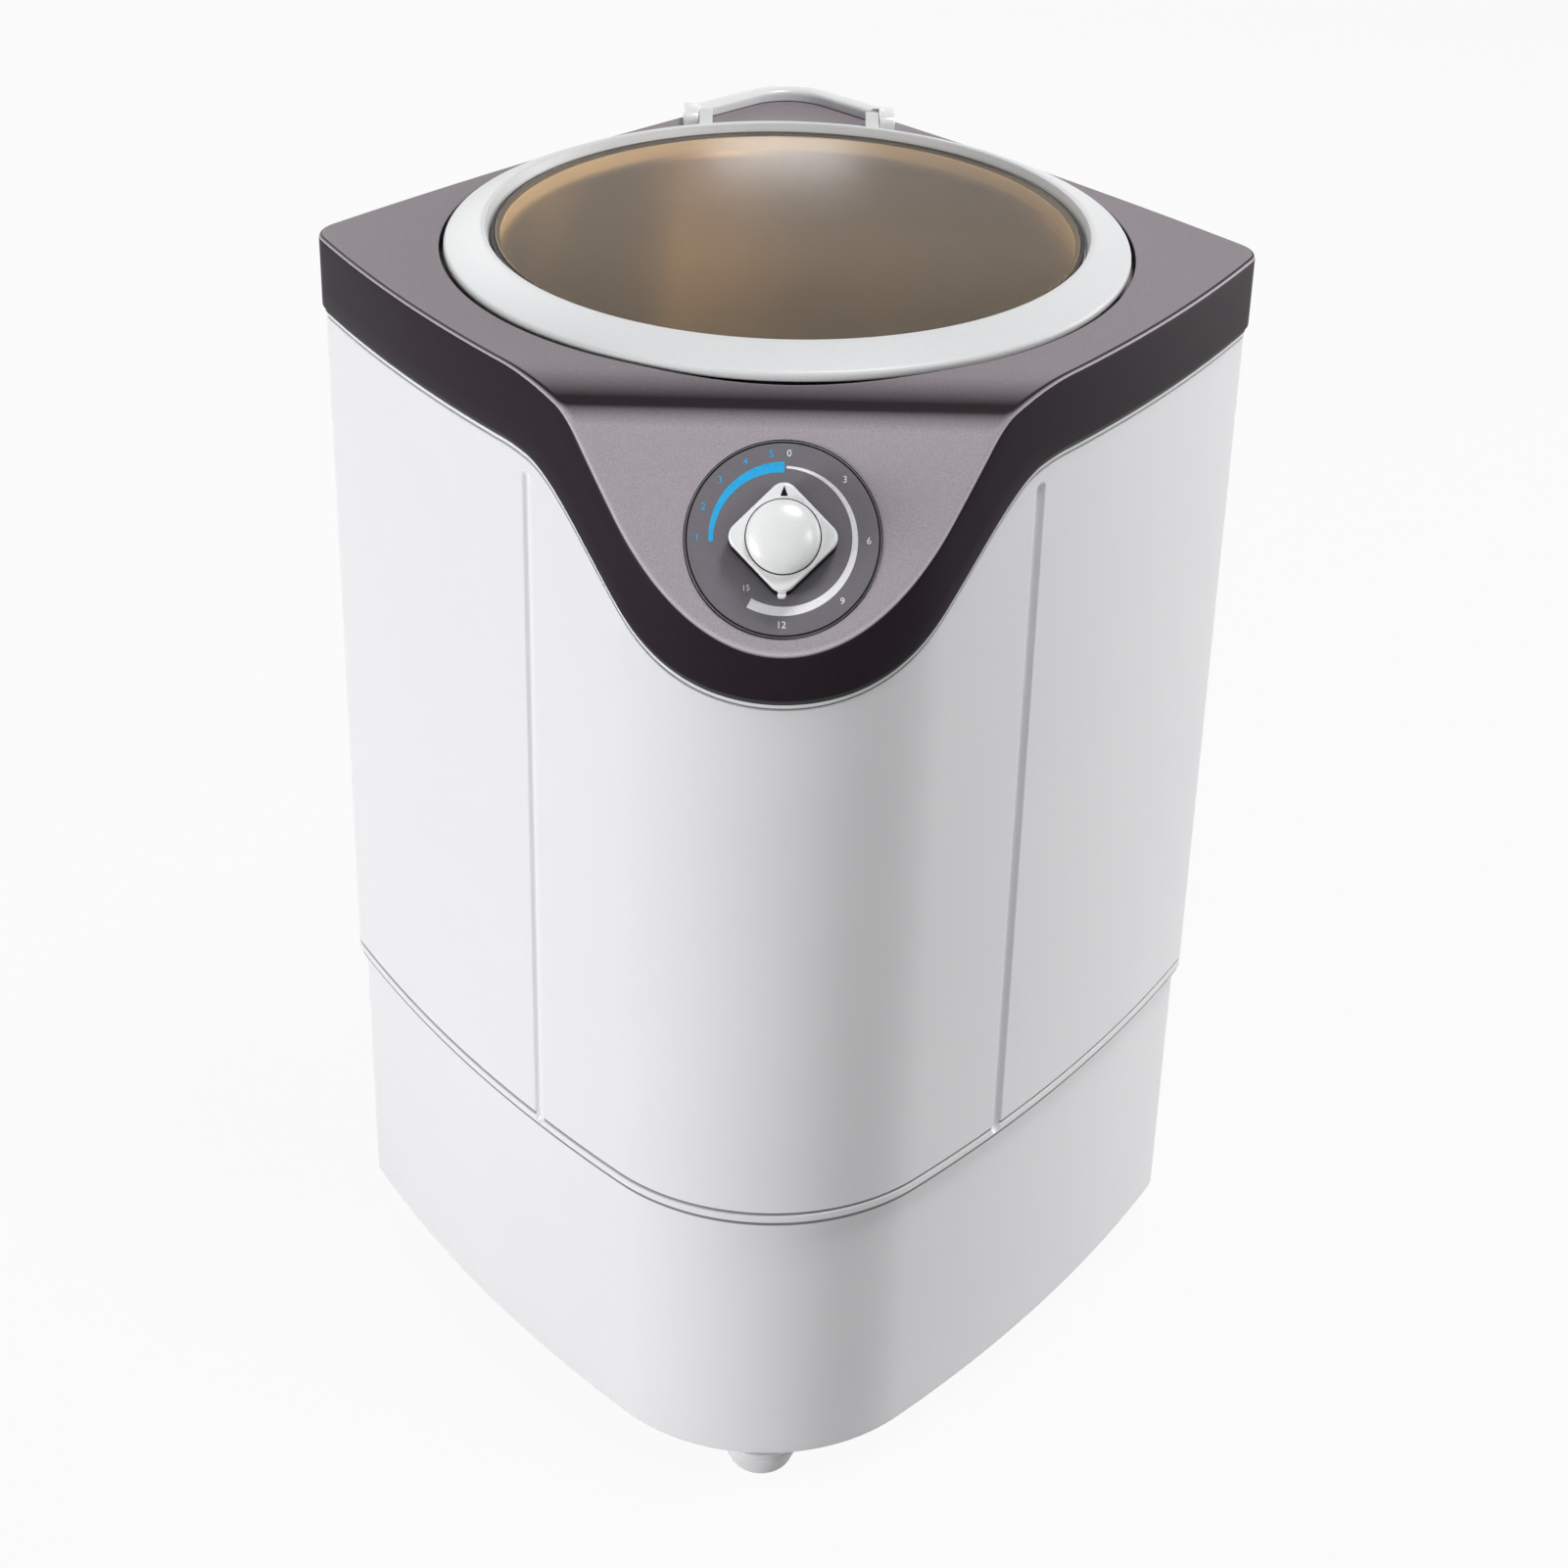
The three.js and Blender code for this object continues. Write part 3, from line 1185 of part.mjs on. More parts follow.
function driveBelt() {
  const shape = new THREE.Shape(beltOutline(BELT_GAP + BELT_THICKNESS));
  shape.holes.push(new THREE.Path(beltOutline(BELT_GAP)));
  const side = PULLEY_LIP + PULLEY_LIP_TAPER + BELT_SIDE_GAP;
  return drawnUp(shape, PULLEY_Z + side, PULLEY_Z + PULLEY_HEIGHT - side);
}

function drivePieces() {
  const onAxis = [0, LID_Y, 0];
  const gasketZ = TUB_LEDGE_Z + GAP;
  const tubGasket = tube(
    OPENING_RADIUS + TUB_GASKET_INSET,
    TUB_LEDGE_RADIUS - 2 * GAP,
    gasketZ,
    gasketZ + TUB_GASKET_HEIGHT,
    FINE,
  );
  const seal = tube(SHAFT_RADIUS + GAP, BEARING_RADIUS, 0, SEAL_HEIGHT - GAP);
  const nut = cut(
    disc(NUT_RADIUS, SHAFT_BOTTOM + NUT_INSET, PULLEY_Z - GAP, NUT_FACETS),
    disc(SHAFT_RADIUS + GAP, SHAFT_BOTTOM - CUT_MARGIN, PULLEY_Z + CUT_MARGIN),
  );
  const capScrewLength = PULSATOR_CAP + PULSATOR_SCREW_REACH;
  const capScrew = screw(capScrewLength, PULSATOR_SCREW_RADIUS, PULSATOR_SCREW_HEAD);
  capScrew.rotateX(Math.PI);
  const lowerBearingZ = HOUSING_BOTTOM + GAP;
  return [
    piece("wash_tub", washTub(), steel, onAxis),
    piece("tub_gasket", tubGasket, rubber, onAxis),
    piece("pulsator", pulsator(), greyPlastic, onAxis),
    piece("pulsator_screw", capScrew, screwSteel, [0, LID_Y, PULSATOR_HUB_TOP + GAP]),
    piece("drive_shaft", driveShaft(), shaftSteel, onAxis),
    piece("shaft_housing", shaftHousing(), castAluminium, onAxis),
    piece("shaft_seal", seal, rubber, [0, LID_Y, SEAL_Z]),
    piece("bearing_upper", bearingRing(), shaftSteel, [0, LID_Y, UPPER_BEARING_Z]),
    piece("bearing_lower", bearingRing(), shaftSteel, [0, LID_Y, lowerBearingZ]),
    piece(
      "drive_pulley",
      pulley(DRIVE_PULLEY_RADIUS, SHAFT_RADIUS + GAP, true),
      castAluminium,
      [0, LID_Y, PULLEY_Z],
    ),
    piece("pulley_nut", nut, screwSteel, onAxis),
    piece("drive_belt", driveBelt(), rubber, onAxis),
  ];
}

// -------------------------------------------------------------------------- the motor

const BRACKET_TOP = DECK_Z - GAP - BUSH_HEIGHT - GAP;
const MOTOR_TOP = BRACKET_TOP - BRACKET_THICKNESS - GAP;

function motorPieces() {
  const onAxis = [0, MOTOR_Y, 0];
  const bottom = MOTOR_TOP - MOTOR_HEIGHT;
  const shaftTop = bottom + MOTOR_SHAFT_DEPTH;
  const bore = MOTOR_SHAFT_RADIUS + GAP;
  const motor = turned([
    [0, shaftTop + GAP],
    [bore, shaftTop + GAP],
    [bore, bottom - MOTOR_BOSS_HEIGHT],
    [MOTOR_BOSS_RADIUS, bottom - MOTOR_BOSS_HEIGHT],
    [MOTOR_BOSS_RADIUS, bottom],
    [MOTOR_RADIUS - MOTOR_BEVEL, bottom],
    [MOTOR_RADIUS, bottom + MOTOR_BEVEL],
    [MOTOR_RADIUS, MOTOR_TOP - MOTOR_BEVEL],
    [MOTOR_RADIUS - MOTOR_BEVEL, MOTOR_TOP],
    [0, MOTOR_TOP],
  ]);
  const bracketZ = BRACKET_TOP - BRACKET_THICKNESS;
  const halfX = MOTOR_MOUNT_X + BRACKET_MARGIN;
  const halfY = MOTOR_MOUNT_Y + BRACKET_MARGIN;
  const plate = block([-halfX, -halfY, bracketZ], [halfX, halfY, BRACKET_TOP]);
  const holes = MOTOR_MOUNTS.map(([x, y]) => {
    const hole = disc(BOLT_BORE, bracketZ - CUT_MARGIN, BRACKET_TOP + CUT_MARGIN, COARSE);
    return hole.translate(x, y - MOTOR_Y, 0);
  });
  const bush = tube(BOLT_BORE, BUSH_RADIUS, BRACKET_TOP + GAP, DECK_Z - GAP, COARSE);
  const boltZ = bracketZ - GAP;
  const bolt = screw(DECK_TOP - boltZ - BOLT_SHORT, BOLT_RADIUS, BOLT_HEAD_RADIUS);
  const shaft = disc(MOTOR_SHAFT_RADIUS, PULLEY_Z - MOTOR_SHAFT_REACH, shaftTop, COARSE);
  return [
    piece("motor", motor, castAluminium, onAxis),
    piece("motor_shaft", shaft, shaftSteel, onAxis),
    piece("motor_pulley", pulley(MOTOR_PULLEY_RADIUS, bore, false), castAluminium, [
      0,
      MOTOR_Y,
      PULLEY_Z,
    ]),
    piece("motor_bracket", cut(plate, ...holes), shaftSteel, onAxis),
    ...MOTOR_MOUNTS.flatMap(([x, y], i) => [
      piece(`motor_bush_${i + 1}`, bush, rubber, [x, y, 0]),
      piece(`motor_bolt_${i + 1}`, bolt, screwSteel, [x, y, boltZ]),
    ]),
  ];
}

/** Run capacitor in a clip that hangs from the deck. */
function capacitorPieces() {
  const [x, y] = CAPACITOR_AT.toArray();
  const top = DECK_Z - CAPACITOR_DROP;
  const can = disc(CAPACITOR_RADIUS, top - CAPACITOR_HEIGHT, top);
  const inner = CAPACITOR_RADIUS + GAP;
  const outer = inner + CLIP_WALL;
  const clipTop = top - CLIP_DROP;
  const clipLow = clipTop - CLIP_HEIGHT;
  const ring = tube(inner, outer, clipLow, clipTop);
  const strap = block(
    [outer - STRAP_BITE, -STRAP_WIDTH / 2, clipLow],
    [outer + STRAP_PROUD, STRAP_WIDTH / 2, DECK_Z - GAP],
  );
  return [
    piece("capacitor", can, darkPlastic, [x, y, 0]),
    piece("capacitor_clip", join(ring, strap), shaftSteel, [x, y, 0]),
  ];
}

// ----------------------------------------------------------------------- the controls

/** The diamond skirt of the knob: a square on its tip with round corners. */
function knobSkirtShape(reach, tipRadius) {
  const centre = reach - tipRadius;
  const shape = new THREE.Shape();
  for (let i = 0; i < 4; i++) {
    const angle = (i * Math.PI) / 2;
    shape.absarc(
      centre * Math.cos(angle),
      centre * Math.sin(angle),
      tipRadius,
      angle - Math.PI / 4,
      angle + Math.PI / 4,
      false,
    );
  }
  return shape;
}

const DIAL_TOP = DIAL_THICKNESS - DIAL_POCKET + GAP;
const KNOB_Z = DIAL_TOP + KNOB_LIFT;
const KNOB_BORE_TOP = KNOB_Z + KNOB_HEIGHT - KNOB_ROOF;

function knobSkirt() {
  const shape = knobSkirtShape(KNOB_REACH, KNOB_TIP_RADIUS);
  const body = drawnUp(shape, KNOB_Z, KNOB_Z + KNOB_HEIGHT, ARC_FACETS);
  const low = KNOB_Z - CUT_MARGIN;
  return cut(body, disc(TIMER_SHAFT_RADIUS + GAP, low, KNOB_BORE_TOP, COARSE));
}

function knobCap() {
  const low = KNOB_Z + KNOB_HEIGHT + GAP;
  const edge = low + KNOB_CAP_EDGE;
  const dome = Array.from({ length: ARC_FACETS + 1 }, (_, i) => {
    const angle = ((i / ARC_FACETS) * Math.PI) / 2;
    return [KNOB_CAP_RADIUS * Math.cos(angle), edge + KNOB_CAP_RISE * Math.sin(angle)];
  });
  dome[ARC_FACETS][0] = 0;
  return turned([[0, low], [KNOB_CAP_RADIUS, low], ...dome]);
}

/** Timer: a closed case with a bore for its shaft and two ears with screw holes. */
function timer(face, shaftLow) {
  const { x, y, z } = TIMER_SIZE;
  const screwX = x / 2 + TIMER_EAR_REACH;
  const earX = screwX + TIMER_EAR_MARGIN;
  const earZ = face - TIMER_EAR_THICKNESS;
  const caseBlock = block([-x / 2, -y / 2, face - z], [x / 2, y / 2, face]);
  const ears = block([-earX, -TIMER_EAR_WIDTH / 2, earZ], [earX, TIMER_EAR_WIDTH / 2, face]);
  const bore = disc(TIMER_SHAFT_RADIUS + GAP, shaftLow - GAP, face + CUT_MARGIN, COARSE);
  const earHoles = [-1, 1].map((side) => {
    const hole = disc(SCREW_BORE, earZ - CUT_MARGIN, face + CUT_MARGIN, COARSE);
    return hole.translate(side * screwX, 0, 0);
  });
  return cut(join(caseBlock, ears), bore, ...earHoles);
}

function controlPieces() {
  const turn = new THREE.Quaternion().setFromAxisAngle(new THREE.Vector3(1, 0, 0), dialTilt);
  const place = (name, geometry, material) =>
    piece(name, geometry, material, dialCentre, turn);
  const dialLow = GAP - DIAL_POCKET;
  const dialBore = TIMER_SHAFT_RADIUS + DIAL_BORE_CLEARANCE;
  const dial = tube(dialBore, DIAL_RADIUS, dialLow, DIAL_TOP, FINE);
  const behind = -WALL - TIMER_GAP;
  const shaftLow = behind - TIMER_SHAFT_DEPTH;
  const shaft = disc(TIMER_SHAFT_RADIUS, shaftLow, KNOB_BORE_TOP - GAP, COARSE);
  return [
    place("dial_plate", dial, dialInk),
    place("knob_skirt", knobSkirt(), silverPlastic),
    place("knob_cap", knobCap(), silverPlastic),
    place("timer_shaft", shaft, shaftSteel),
    place("timer", timer(behind, shaftLow), darkPlastic),
  ];
}

// --------------------------------------------------------------- drain and cord gland

const SPIGOT_INNER = REAR_REACH - BASE_INNER - SPIGOT_DEPTH; // where the hose meets it
const HOSE_TOP = DECK_Z - HOSE_DROP;

/** Drain hose from under the tub to the spigot in the rear left wall. */
function drainHose() {
  const start = new THREE.Vector3(DRAIN_X, LID_Y, HOSE_TOP);
  const end = new THREE.Vector3(...onRearLine(-1, SPIGOT_INNER - GAP, DRAIN_Z));
  const outward = new THREE.Vector3(-HALF_ROOT, HALF_ROOT, 0);
  const path = new THREE.CubicBezierCurve3(
    start,
    start.clone().setZ(DRAIN_Z + HOSE_BEND_RISE),
    end.clone().addScaledVector(outward, -HOSE_BEND_REACH),
    end,
  );
  const section = new THREE.Shape();
  section.absarc(0, 0, DRAIN_OUTER, 0, 2 * Math.PI, false);
  const hole = new THREE.Path();
  hole.absarc(0, 0, DRAIN_BORE, 0, 2 * Math.PI, true);
  section.holes.push(hole);
  const options = { steps: HOSE_STEPS, extrudePath: path, curveSegments: 4 };
  return tidy(new THREE.ExtrudeGeometry(section, { ...options, bevelEnabled: false }));
}

function drainPieces() {
  const flangeZ = DECK_TOP + FITTING_LIFT;
  const fittingTop = TUB_BOTTOM + TUB_WALL + FITTING_RISE;
  const fitting = turned([
    [DRAIN_BORE, HOSE_TOP + GAP],
    [DRAIN_OUTER, HOSE_TOP + GAP],
    [DRAIN_OUTER, flangeZ],
    [DRAIN_OUTER + FITTING_FLANGE, flangeZ],
    [DRAIN_OUTER + FITTING_FLANGE, TUB_BOTTOM - GAP],
    [DRAIN_OUTER, TUB_BOTTOM - GAP],
    [DRAIN_OUTER, fittingTop],
    [DRAIN_BORE, fittingTop],
  ], COARSE);
  const wallOuter = REAR_REACH - BASE_INSET + GAP;
  const reach = wallOuter + SPIGOT_REACH;
  const spigot = turned([
    [DRAIN_BORE, SPIGOT_INNER],
    [DRAIN_OUTER, SPIGOT_INNER],
    [DRAIN_OUTER, wallOuter],
    [DRAIN_OUTER + SPIGOT_FLANGE, wallOuter],
    [DRAIN_OUTER + SPIGOT_FLANGE, wallOuter + SPIGOT_FLANGE_THICKNESS],
    [DRAIN_OUTER, wallOuter + SPIGOT_FLANGE_THICKNESS],
    [DRAIN_OUTER, reach - SPIGOT_BARB],
    [DRAIN_OUTER + SPIGOT_BARB_RISE, reach - SPIGOT_BARB + SPIGOT_BARB_RAMP],
    [DRAIN_OUTER - SPIGOT_TIP, reach],
    [DRAIN_BORE, reach],
  ], COARSE);
  const glandIn = REAR_REACH - BASE_INNER - GLAND_DEPTH;
  const gland = turned([
    [GLAND_BORE, glandIn],
    [GLAND_RADIUS, glandIn],
    [GLAND_RADIUS, wallOuter],
    [GLAND_RADIUS + GLAND_FLANGE, wallOuter],
    [GLAND_RADIUS + GLAND_FLANGE, wallOuter + GLAND_FLANGE_THICKNESS],
    [GLAND_RADIUS, wallOuter + GLAND_REACH],
    [GLAND_BORE, wallOuter + GLAND_REACH],
  ], COARSE);
  return [
    piece("drain_fitting", fitting, greyPlastic, [DRAIN_X, LID_Y, 0]),
    piece("drain_hose", drainHose(), rubber),
    piece("drain_spigot", spigot, greyPlastic, [0, 0, DRAIN_Z], outOfRear(-1)),
    piece("cord_gland", gland, darkPlastic, [0, 0, GLAND_Z], outOfRear(1)),
  ];
}

// ------------------------------------------------------------------------- assembly

const washer = new THREE.Group();
washer.add(
  ...shellPieces(),
  ...lidPieces(),
  ...drivePieces(),
  ...motorPieces(),
  ...capacitorPieces(),
  ...controlPieces(),
  ...drainPieces(),
);

export default washer;
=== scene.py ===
"""The looks of a small top load washing machine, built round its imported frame.

Lengths are millimetres until a mesh is made; the frame and every Blender object are in metres.
The control corner faces -Y, and the lid hinges at the rear corner.
"""

import json
import math

import bmesh
import bpy
import numpy as np
from mathutils import Matrix, Vector
from mathutils.geometry import delaunay_2d_cdt


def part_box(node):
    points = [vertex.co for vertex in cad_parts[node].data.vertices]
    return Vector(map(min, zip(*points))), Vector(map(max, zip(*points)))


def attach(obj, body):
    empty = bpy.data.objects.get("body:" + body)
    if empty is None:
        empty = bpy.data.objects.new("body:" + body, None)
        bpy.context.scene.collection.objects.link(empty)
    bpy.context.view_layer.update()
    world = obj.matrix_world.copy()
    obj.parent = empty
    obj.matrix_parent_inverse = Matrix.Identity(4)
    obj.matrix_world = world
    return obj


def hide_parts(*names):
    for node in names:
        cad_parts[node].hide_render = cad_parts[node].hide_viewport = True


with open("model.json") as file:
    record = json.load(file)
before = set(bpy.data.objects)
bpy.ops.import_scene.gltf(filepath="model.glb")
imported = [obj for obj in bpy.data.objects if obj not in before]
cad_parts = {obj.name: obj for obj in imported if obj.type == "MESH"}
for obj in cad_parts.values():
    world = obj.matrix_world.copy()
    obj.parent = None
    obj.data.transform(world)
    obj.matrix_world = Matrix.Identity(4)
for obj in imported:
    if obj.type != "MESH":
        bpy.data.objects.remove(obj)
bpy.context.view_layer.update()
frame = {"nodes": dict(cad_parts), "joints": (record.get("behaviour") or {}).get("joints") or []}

MM = 0.001
TINY = 1e-4


def low(node):
    """Lowest corner of a CAD node, in millimetres."""
    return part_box(node)[0] / MM


def high(node):
    """Highest corner of a CAD node, in millimetres."""
    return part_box(node)[1] / MM


# ---- dimensions

# Plan of the cover: bowed sides joined by round corners.
FRONT_SIDE_REACH = 176.5
FRONT_SIDE_BOW = 843
FRONT_SIDE_SHIFT = 82
REAR_SIDE_REACH = 168.6
REAR_SIDE_BOW = 2036
REAR_SIDE_SHIFT = 16
FRONT_CORNER_RADIUS = 97
SIDE_CORNER_RADIUS = 16.5
REAR_CORNER_RADIUS = 35
HALF_ROOT = math.sqrt(0.5)

# Heights, from the frame.
FLOOR_Z = low("base_shell").z
SEAM_Z = low("body_shell").z
DECK_TOP = high("support_deck").z
TOP_Z = high("top_cover").z
BASE_TOP = high("base_shell").z

# Shells.
WALL = 3
GAP = 0.3
BODY_INSET = 1.6
LIP_INSET = WALL + GAP
BODY_INNER = BODY_INSET + WALL
BASE_INSET = BODY_INNER + GAP
BASE_INNER = BASE_INSET + WALL
LEDGE = 6
BAND_SIDE = 34
BAND_FRONT = 20.5
BAND_BULGE = 10
BAND_LIP = 6
BAND_GAP = 2 * GAP
BAND_ROUND = 0.8
EDGE_RUN = 2.4
EDGE_DROP = 2.6
BASE_ROUND = 4
BODY_ROUND = 1.1
QUARTER_ROUND = ((0, 1), (0.1, 0.45), (0.45, 0.1), (1, 0))  # rise and inset over the radius
RECESS_LIP = 0.5
POCKET_LIP = 0.5
SUPPORT = 0.3  # narrow strip that keeps a rounded edge's shading off the flat beside it
SHARP_ANGLE = math.radians(35)

# Control face.
FACE_REACH = 51
FACE_TILT = math.radians(58.78)
FACE_SLOPE = math.tan(FACE_TILT)
CREASE_DROP = 8.3
DROOP_LENGTH = 33
CREASE_ROUND = 5
FOOT_ROUND = 26
CREASE_REACH = 4.5  # how far forward the rounded crease reaches
DIAL_DROP = 51.5

# Lines and grooves of the body, and dark strips laid along them and the seam as painted shade. A
# strip's face and back are insets from the outline.
SEAM_LINE_RISE = 4.2
SEAM_LINE_WIDTH = 1.6
SEAM_LINE_DEPTH = 0.8
BAND_LINE_DROP = 4
BAND_LINE_WIDTH = 1.1
BAND_LINE_DEPTH = 0.6
LINE_FLANK = 0.2
LINE_APRON = 1.5
BAND_SHADOW_DROP = 2.4
SEAM_SHADOW_DROP = 1.9
SHADE_STRIP_ROUND = 0.25
GROOVE_SPREAD = 108.5
GROOVE_WIDTH = 7
GROOVE_BED = 3
GROOVE_DEPTH = 1.8
GROOVE_TOP_BELOW = 10.5
GROOVE_FOOT_RISE = 1.2

# Lid, hinge and tub, all round the lid's middle.
LID_Y = (low("lid_window").y + high("lid_window").y) / 2
FRAME_RADIUS = high("lid_frame").x
CREST_Z = high("lid_frame").z
LID_Z = low("lid_frame").z
RECESS_RADIUS = FRAME_RADIUS + 1.9
RECESS_Z = LID_Z - GAP
RIM_WIDTH = 17.7
RIM_LOW = TOP_Z - 2
RIM_HIGH = TOP_Z + 2
CREST_RADIUS = FRAME_RADIUS - RIM_WIDTH
WINDOW_RADIUS = high("lid_window").x
WINDOW_Z = low("lid_window").z
WINDOW_TOP = high("lid_window").z
POCKET_RADIUS = high("window_gasket").x + GAP
POCKET_Z = low("window_gasket").z - GAP
FRAME_INNER = POCKET_RADIUS - 5.1
FRAME_FOOT_WIDTH = 9
GASKET_WIDTH = 1.7
GASKET_FOOT = 0.8
TUB_RIM_RADIUS = high("wash_tub").x
TUB_LEDGE_RADIUS = TUB_RIM_RADIUS + 2 * GAP
TUB_TOP = high("wash_tub").z
TUB_BOTTOM = low("wash_tub").z
TUB_LEDGE_Z = RECESS_Z - 5
OPENING_RADIUS = TUB_LEDGE_RADIUS - 6.8
TUB_OUTER = OPENING_RADIUS - 2 * GAP
TUB_WALL = 1.5
TUB_CORNER = 24
TUB_RIM_HEIGHT = 3.1

# Dial and knob, in the dial's own plane.
DIAL_RADIUS = 40
DIAL_POCKET = 0.9
DIAL_TOP = 1
DIAL_BORE = 5
DIAL_PLATE_LOW = GAP - DIAL_POCKET
DIAL_LINE_RADIUS = DIAL_RADIUS - 1.3
INK_HEIGHT = 0.08
ARC_RADIUS = 0.73 * DIAL_RADIUS
NUMBER_RADIUS = 0.87 * DIAL_RADIUS
LAST_NUMBER_RADIUS = 0.62 * DIAL_RADIUS
SHAFT_HOLE = 6
KNOB_Z = 2
KNOB_HEIGHT = 10
KNOB_TOP = KNOB_Z + KNOB_HEIGHT
KNOB_REACH = 22
KNOB_TIP = 6
KNOB_CAP_RADIUS = 15
KNOB_CAP_RISE = 6
KNOB_FOOT = 4.2
# Shift of the knob's black foot toward the nub, so that it paints a shadow under the lower sides.
KNOB_SHADOW_SHIFT = 1.3
POINTER_TIP = 20.6
POINTER_FOOT = 16.4
POINTER_HALF = 1.5
NUB_REACH = KNOB_REACH + 2.4
NUB_HALF = 1.7
NUB_LENGTH = 5

# Hinge.
joints = {joint["name"]: joint for joint in frame["joints"]}
HINGE_Y, HINGE_Z = (Vector(joints["lid_hinge"]["pos_m"]) / MM).yz
HINGE_SPREAD = 48
POST_WIDTH = 7.6
POST_DEPTH = 13
POST_TOP = TOP_Z + 8.7
KNUCKLE_RADIUS = 3.4
KNUCKLE_WIDTH = 6.4
KNUCKLE_OUTER = HINGE_SPREAD - POST_WIDTH / 2 - GAP
KNUCKLE_INNER = KNUCKLE_OUTER - KNUCKLE_WIDTH
PIN_RADIUS = 2
RAIL_INSET = 2.8
RAIL_WIDTH = 7.8
RAIL_TOP = TOP_Z + 6.4

# Pulsator.
PULSATOR_Z = low("pulsator").z
PULSATOR_TOP = high("pulsator").z
PULSATOR_RADIUS = 95
PULSATOR_BORE = 4.3
FIN_COUNT = 4
FIN_WIDTH = 9
FIN_INNER = 16
FIN_OUTER = 87
FIN_FOOT = 8

# Base, feet and fasteners.
HATCH_RADIUS = 118
PLATE_RADIUS = 128
PLATE_LOW = low("bottom_plate").z
PLATE_HIGH = high("bottom_plate").z
VENT_LENGTH = 90
VENT_WIDTH = 6
VENT_PITCH = 14
VENT_COUNT = 6
FOOT_RADIUS = 18.5
FOOT_NECK = FOOT_RADIUS - 0.7
SCREW_RADIUS = 2
SCREW_HEAD = 4
SCREW_HEAD_HEIGHT = 2
SCREW_LENGTH = 9
DRAIN_BORE = 8
DRAIN_OUTER = 10.2
DRAIN_Z = 60
GLAND_Z = 50
GLAND_BORE = 3.5
GLAND_RADIUS = 8

# Studio, in metres and watts.
LIT_MIDDLE = (0, 0, 0.3)
LAMP_DISTANCE = 2.3
LAMPS = (  # name, azimuth, elevation, power, size
    ("key_lamp", -57, 2, 37, (1.0, 0.6)),
    ("right_lamp", 110, 6, 32, (1.0, 1.4)),
    ("tub_lamp", 46, 30, 5, (0.2, 0.2)),
    ("top_lamp", 52, 73, 28, (0.5, 0.5)),
    ("rear_lamp", -150, 30, 12, (1.0, 1.4)),
    ("backdrop_lamp", 180, 18.5, 0.45, (0.2, 0.12)),
)
AMBIENT = 0.035
FLOOR_GLOW = 0.94
FLOOR_HALF = 6
FLOOR_LEVEL = -0.0002

# ---- plan outline


def circle_crossing(first, first_radius, second, second_radius):
    """Where two circles cross, on the left of the line from the first centre to the second."""
    between = second - first
    distance = between.length
    along = (first_radius**2 - second_radius**2 + distance**2) / (2 * distance)
    across = math.sqrt(max(first_radius**2 - along**2, 0))
    direction = between.normalized()
    return first + direction * along + Vector((-direction.y, direction.x)) * across


def plan_centres():
    """Centres of the arcs of the plan's left half, and how far the plan's middle is moved."""
    front = Vector((-HALF_ROOT, -HALF_ROOT)) * (FRONT_SIDE_REACH - FRONT_SIDE_BOW)
    front += Vector((HALF_ROOT, -HALF_ROOT)) * FRONT_SIDE_SHIFT
    rear = Vector((-HALF_ROOT, HALF_ROOT)) * (REAR_SIDE_REACH - REAR_SIDE_BOW)
    rear += Vector((HALF_ROOT, HALF_ROOT)) * REAR_SIDE_SHIFT
    rear_reach = REAR_SIDE_BOW - SIDE_CORNER_RADIUS
    side = circle_crossing(rear, rear_reach, front, FRONT_SIDE_BOW - SIDE_CORNER_RADIUS)
    front_leg = math.sqrt((FRONT_SIDE_BOW - FRONT_CORNER_RADIUS) ** 2 - front.x**2)
    rear_leg = math.sqrt((REAR_SIDE_BOW - REAR_CORNER_RADIUS) ** 2 - rear.x**2)
    front_corner = Vector((0, front.y - front_leg))
    rear_corner = Vector((0, rear.y + rear_leg))
    front_end = front_corner.y - FRONT_CORNER_RADIUS
    middle = (front_end + rear_corner.y + REAR_CORNER_RADIUS) / 2
    centres = {"front": front, "rear": rear, "side": side}
    centres |= {"front_corner": front_corner, "rear_corner": rear_corner}
    for centre in centres.values():
        centre.y -= middle
    return centres, middle


CENTRES, PLAN_MIDDLE = plan_centres()
HALF_DEPTH = FRONT_CORNER_RADIUS - CENTRES["front_corner"].y
REAR_REACH = REAR_SIDE_REACH - PLAN_MIDDLE * HALF_ROOT
CREASE_Y = FACE_REACH - HALF_DEPTH
GROOVE_ANGLE = math.pi + math.asin(
    math.sqrt(1 - ((CENTRES["front"].x + GROOVE_SPREAD) / FRONT_SIDE_BOW) ** 2)
)


def bearing(start, end):
    """Direction from one centre to another, from 0 to a full turn."""
    return math.atan2(end.y - start.y, end.x - start.x) % (2 * math.pi)


def front_side_angle(y):
    """Angle at which the left front side's outline reaches y."""
    return math.pi + math.asin((CENTRES["front"].y - y) / FRONT_SIDE_BOW)


def stepped(breaks, radius):
    """Angles from the first break to the last: each (angle, step) break sets the step, in
    millimetres along the arc, of the stretch that ends there."""
    angles = []
    for (start, _), (end, step) in zip(breaks, breaks[1:]):
        count = max(round(abs(end - start) * radius / step), 1)
        angles.extend(np.linspace(start, end, count + 1)[1:])
    return angles


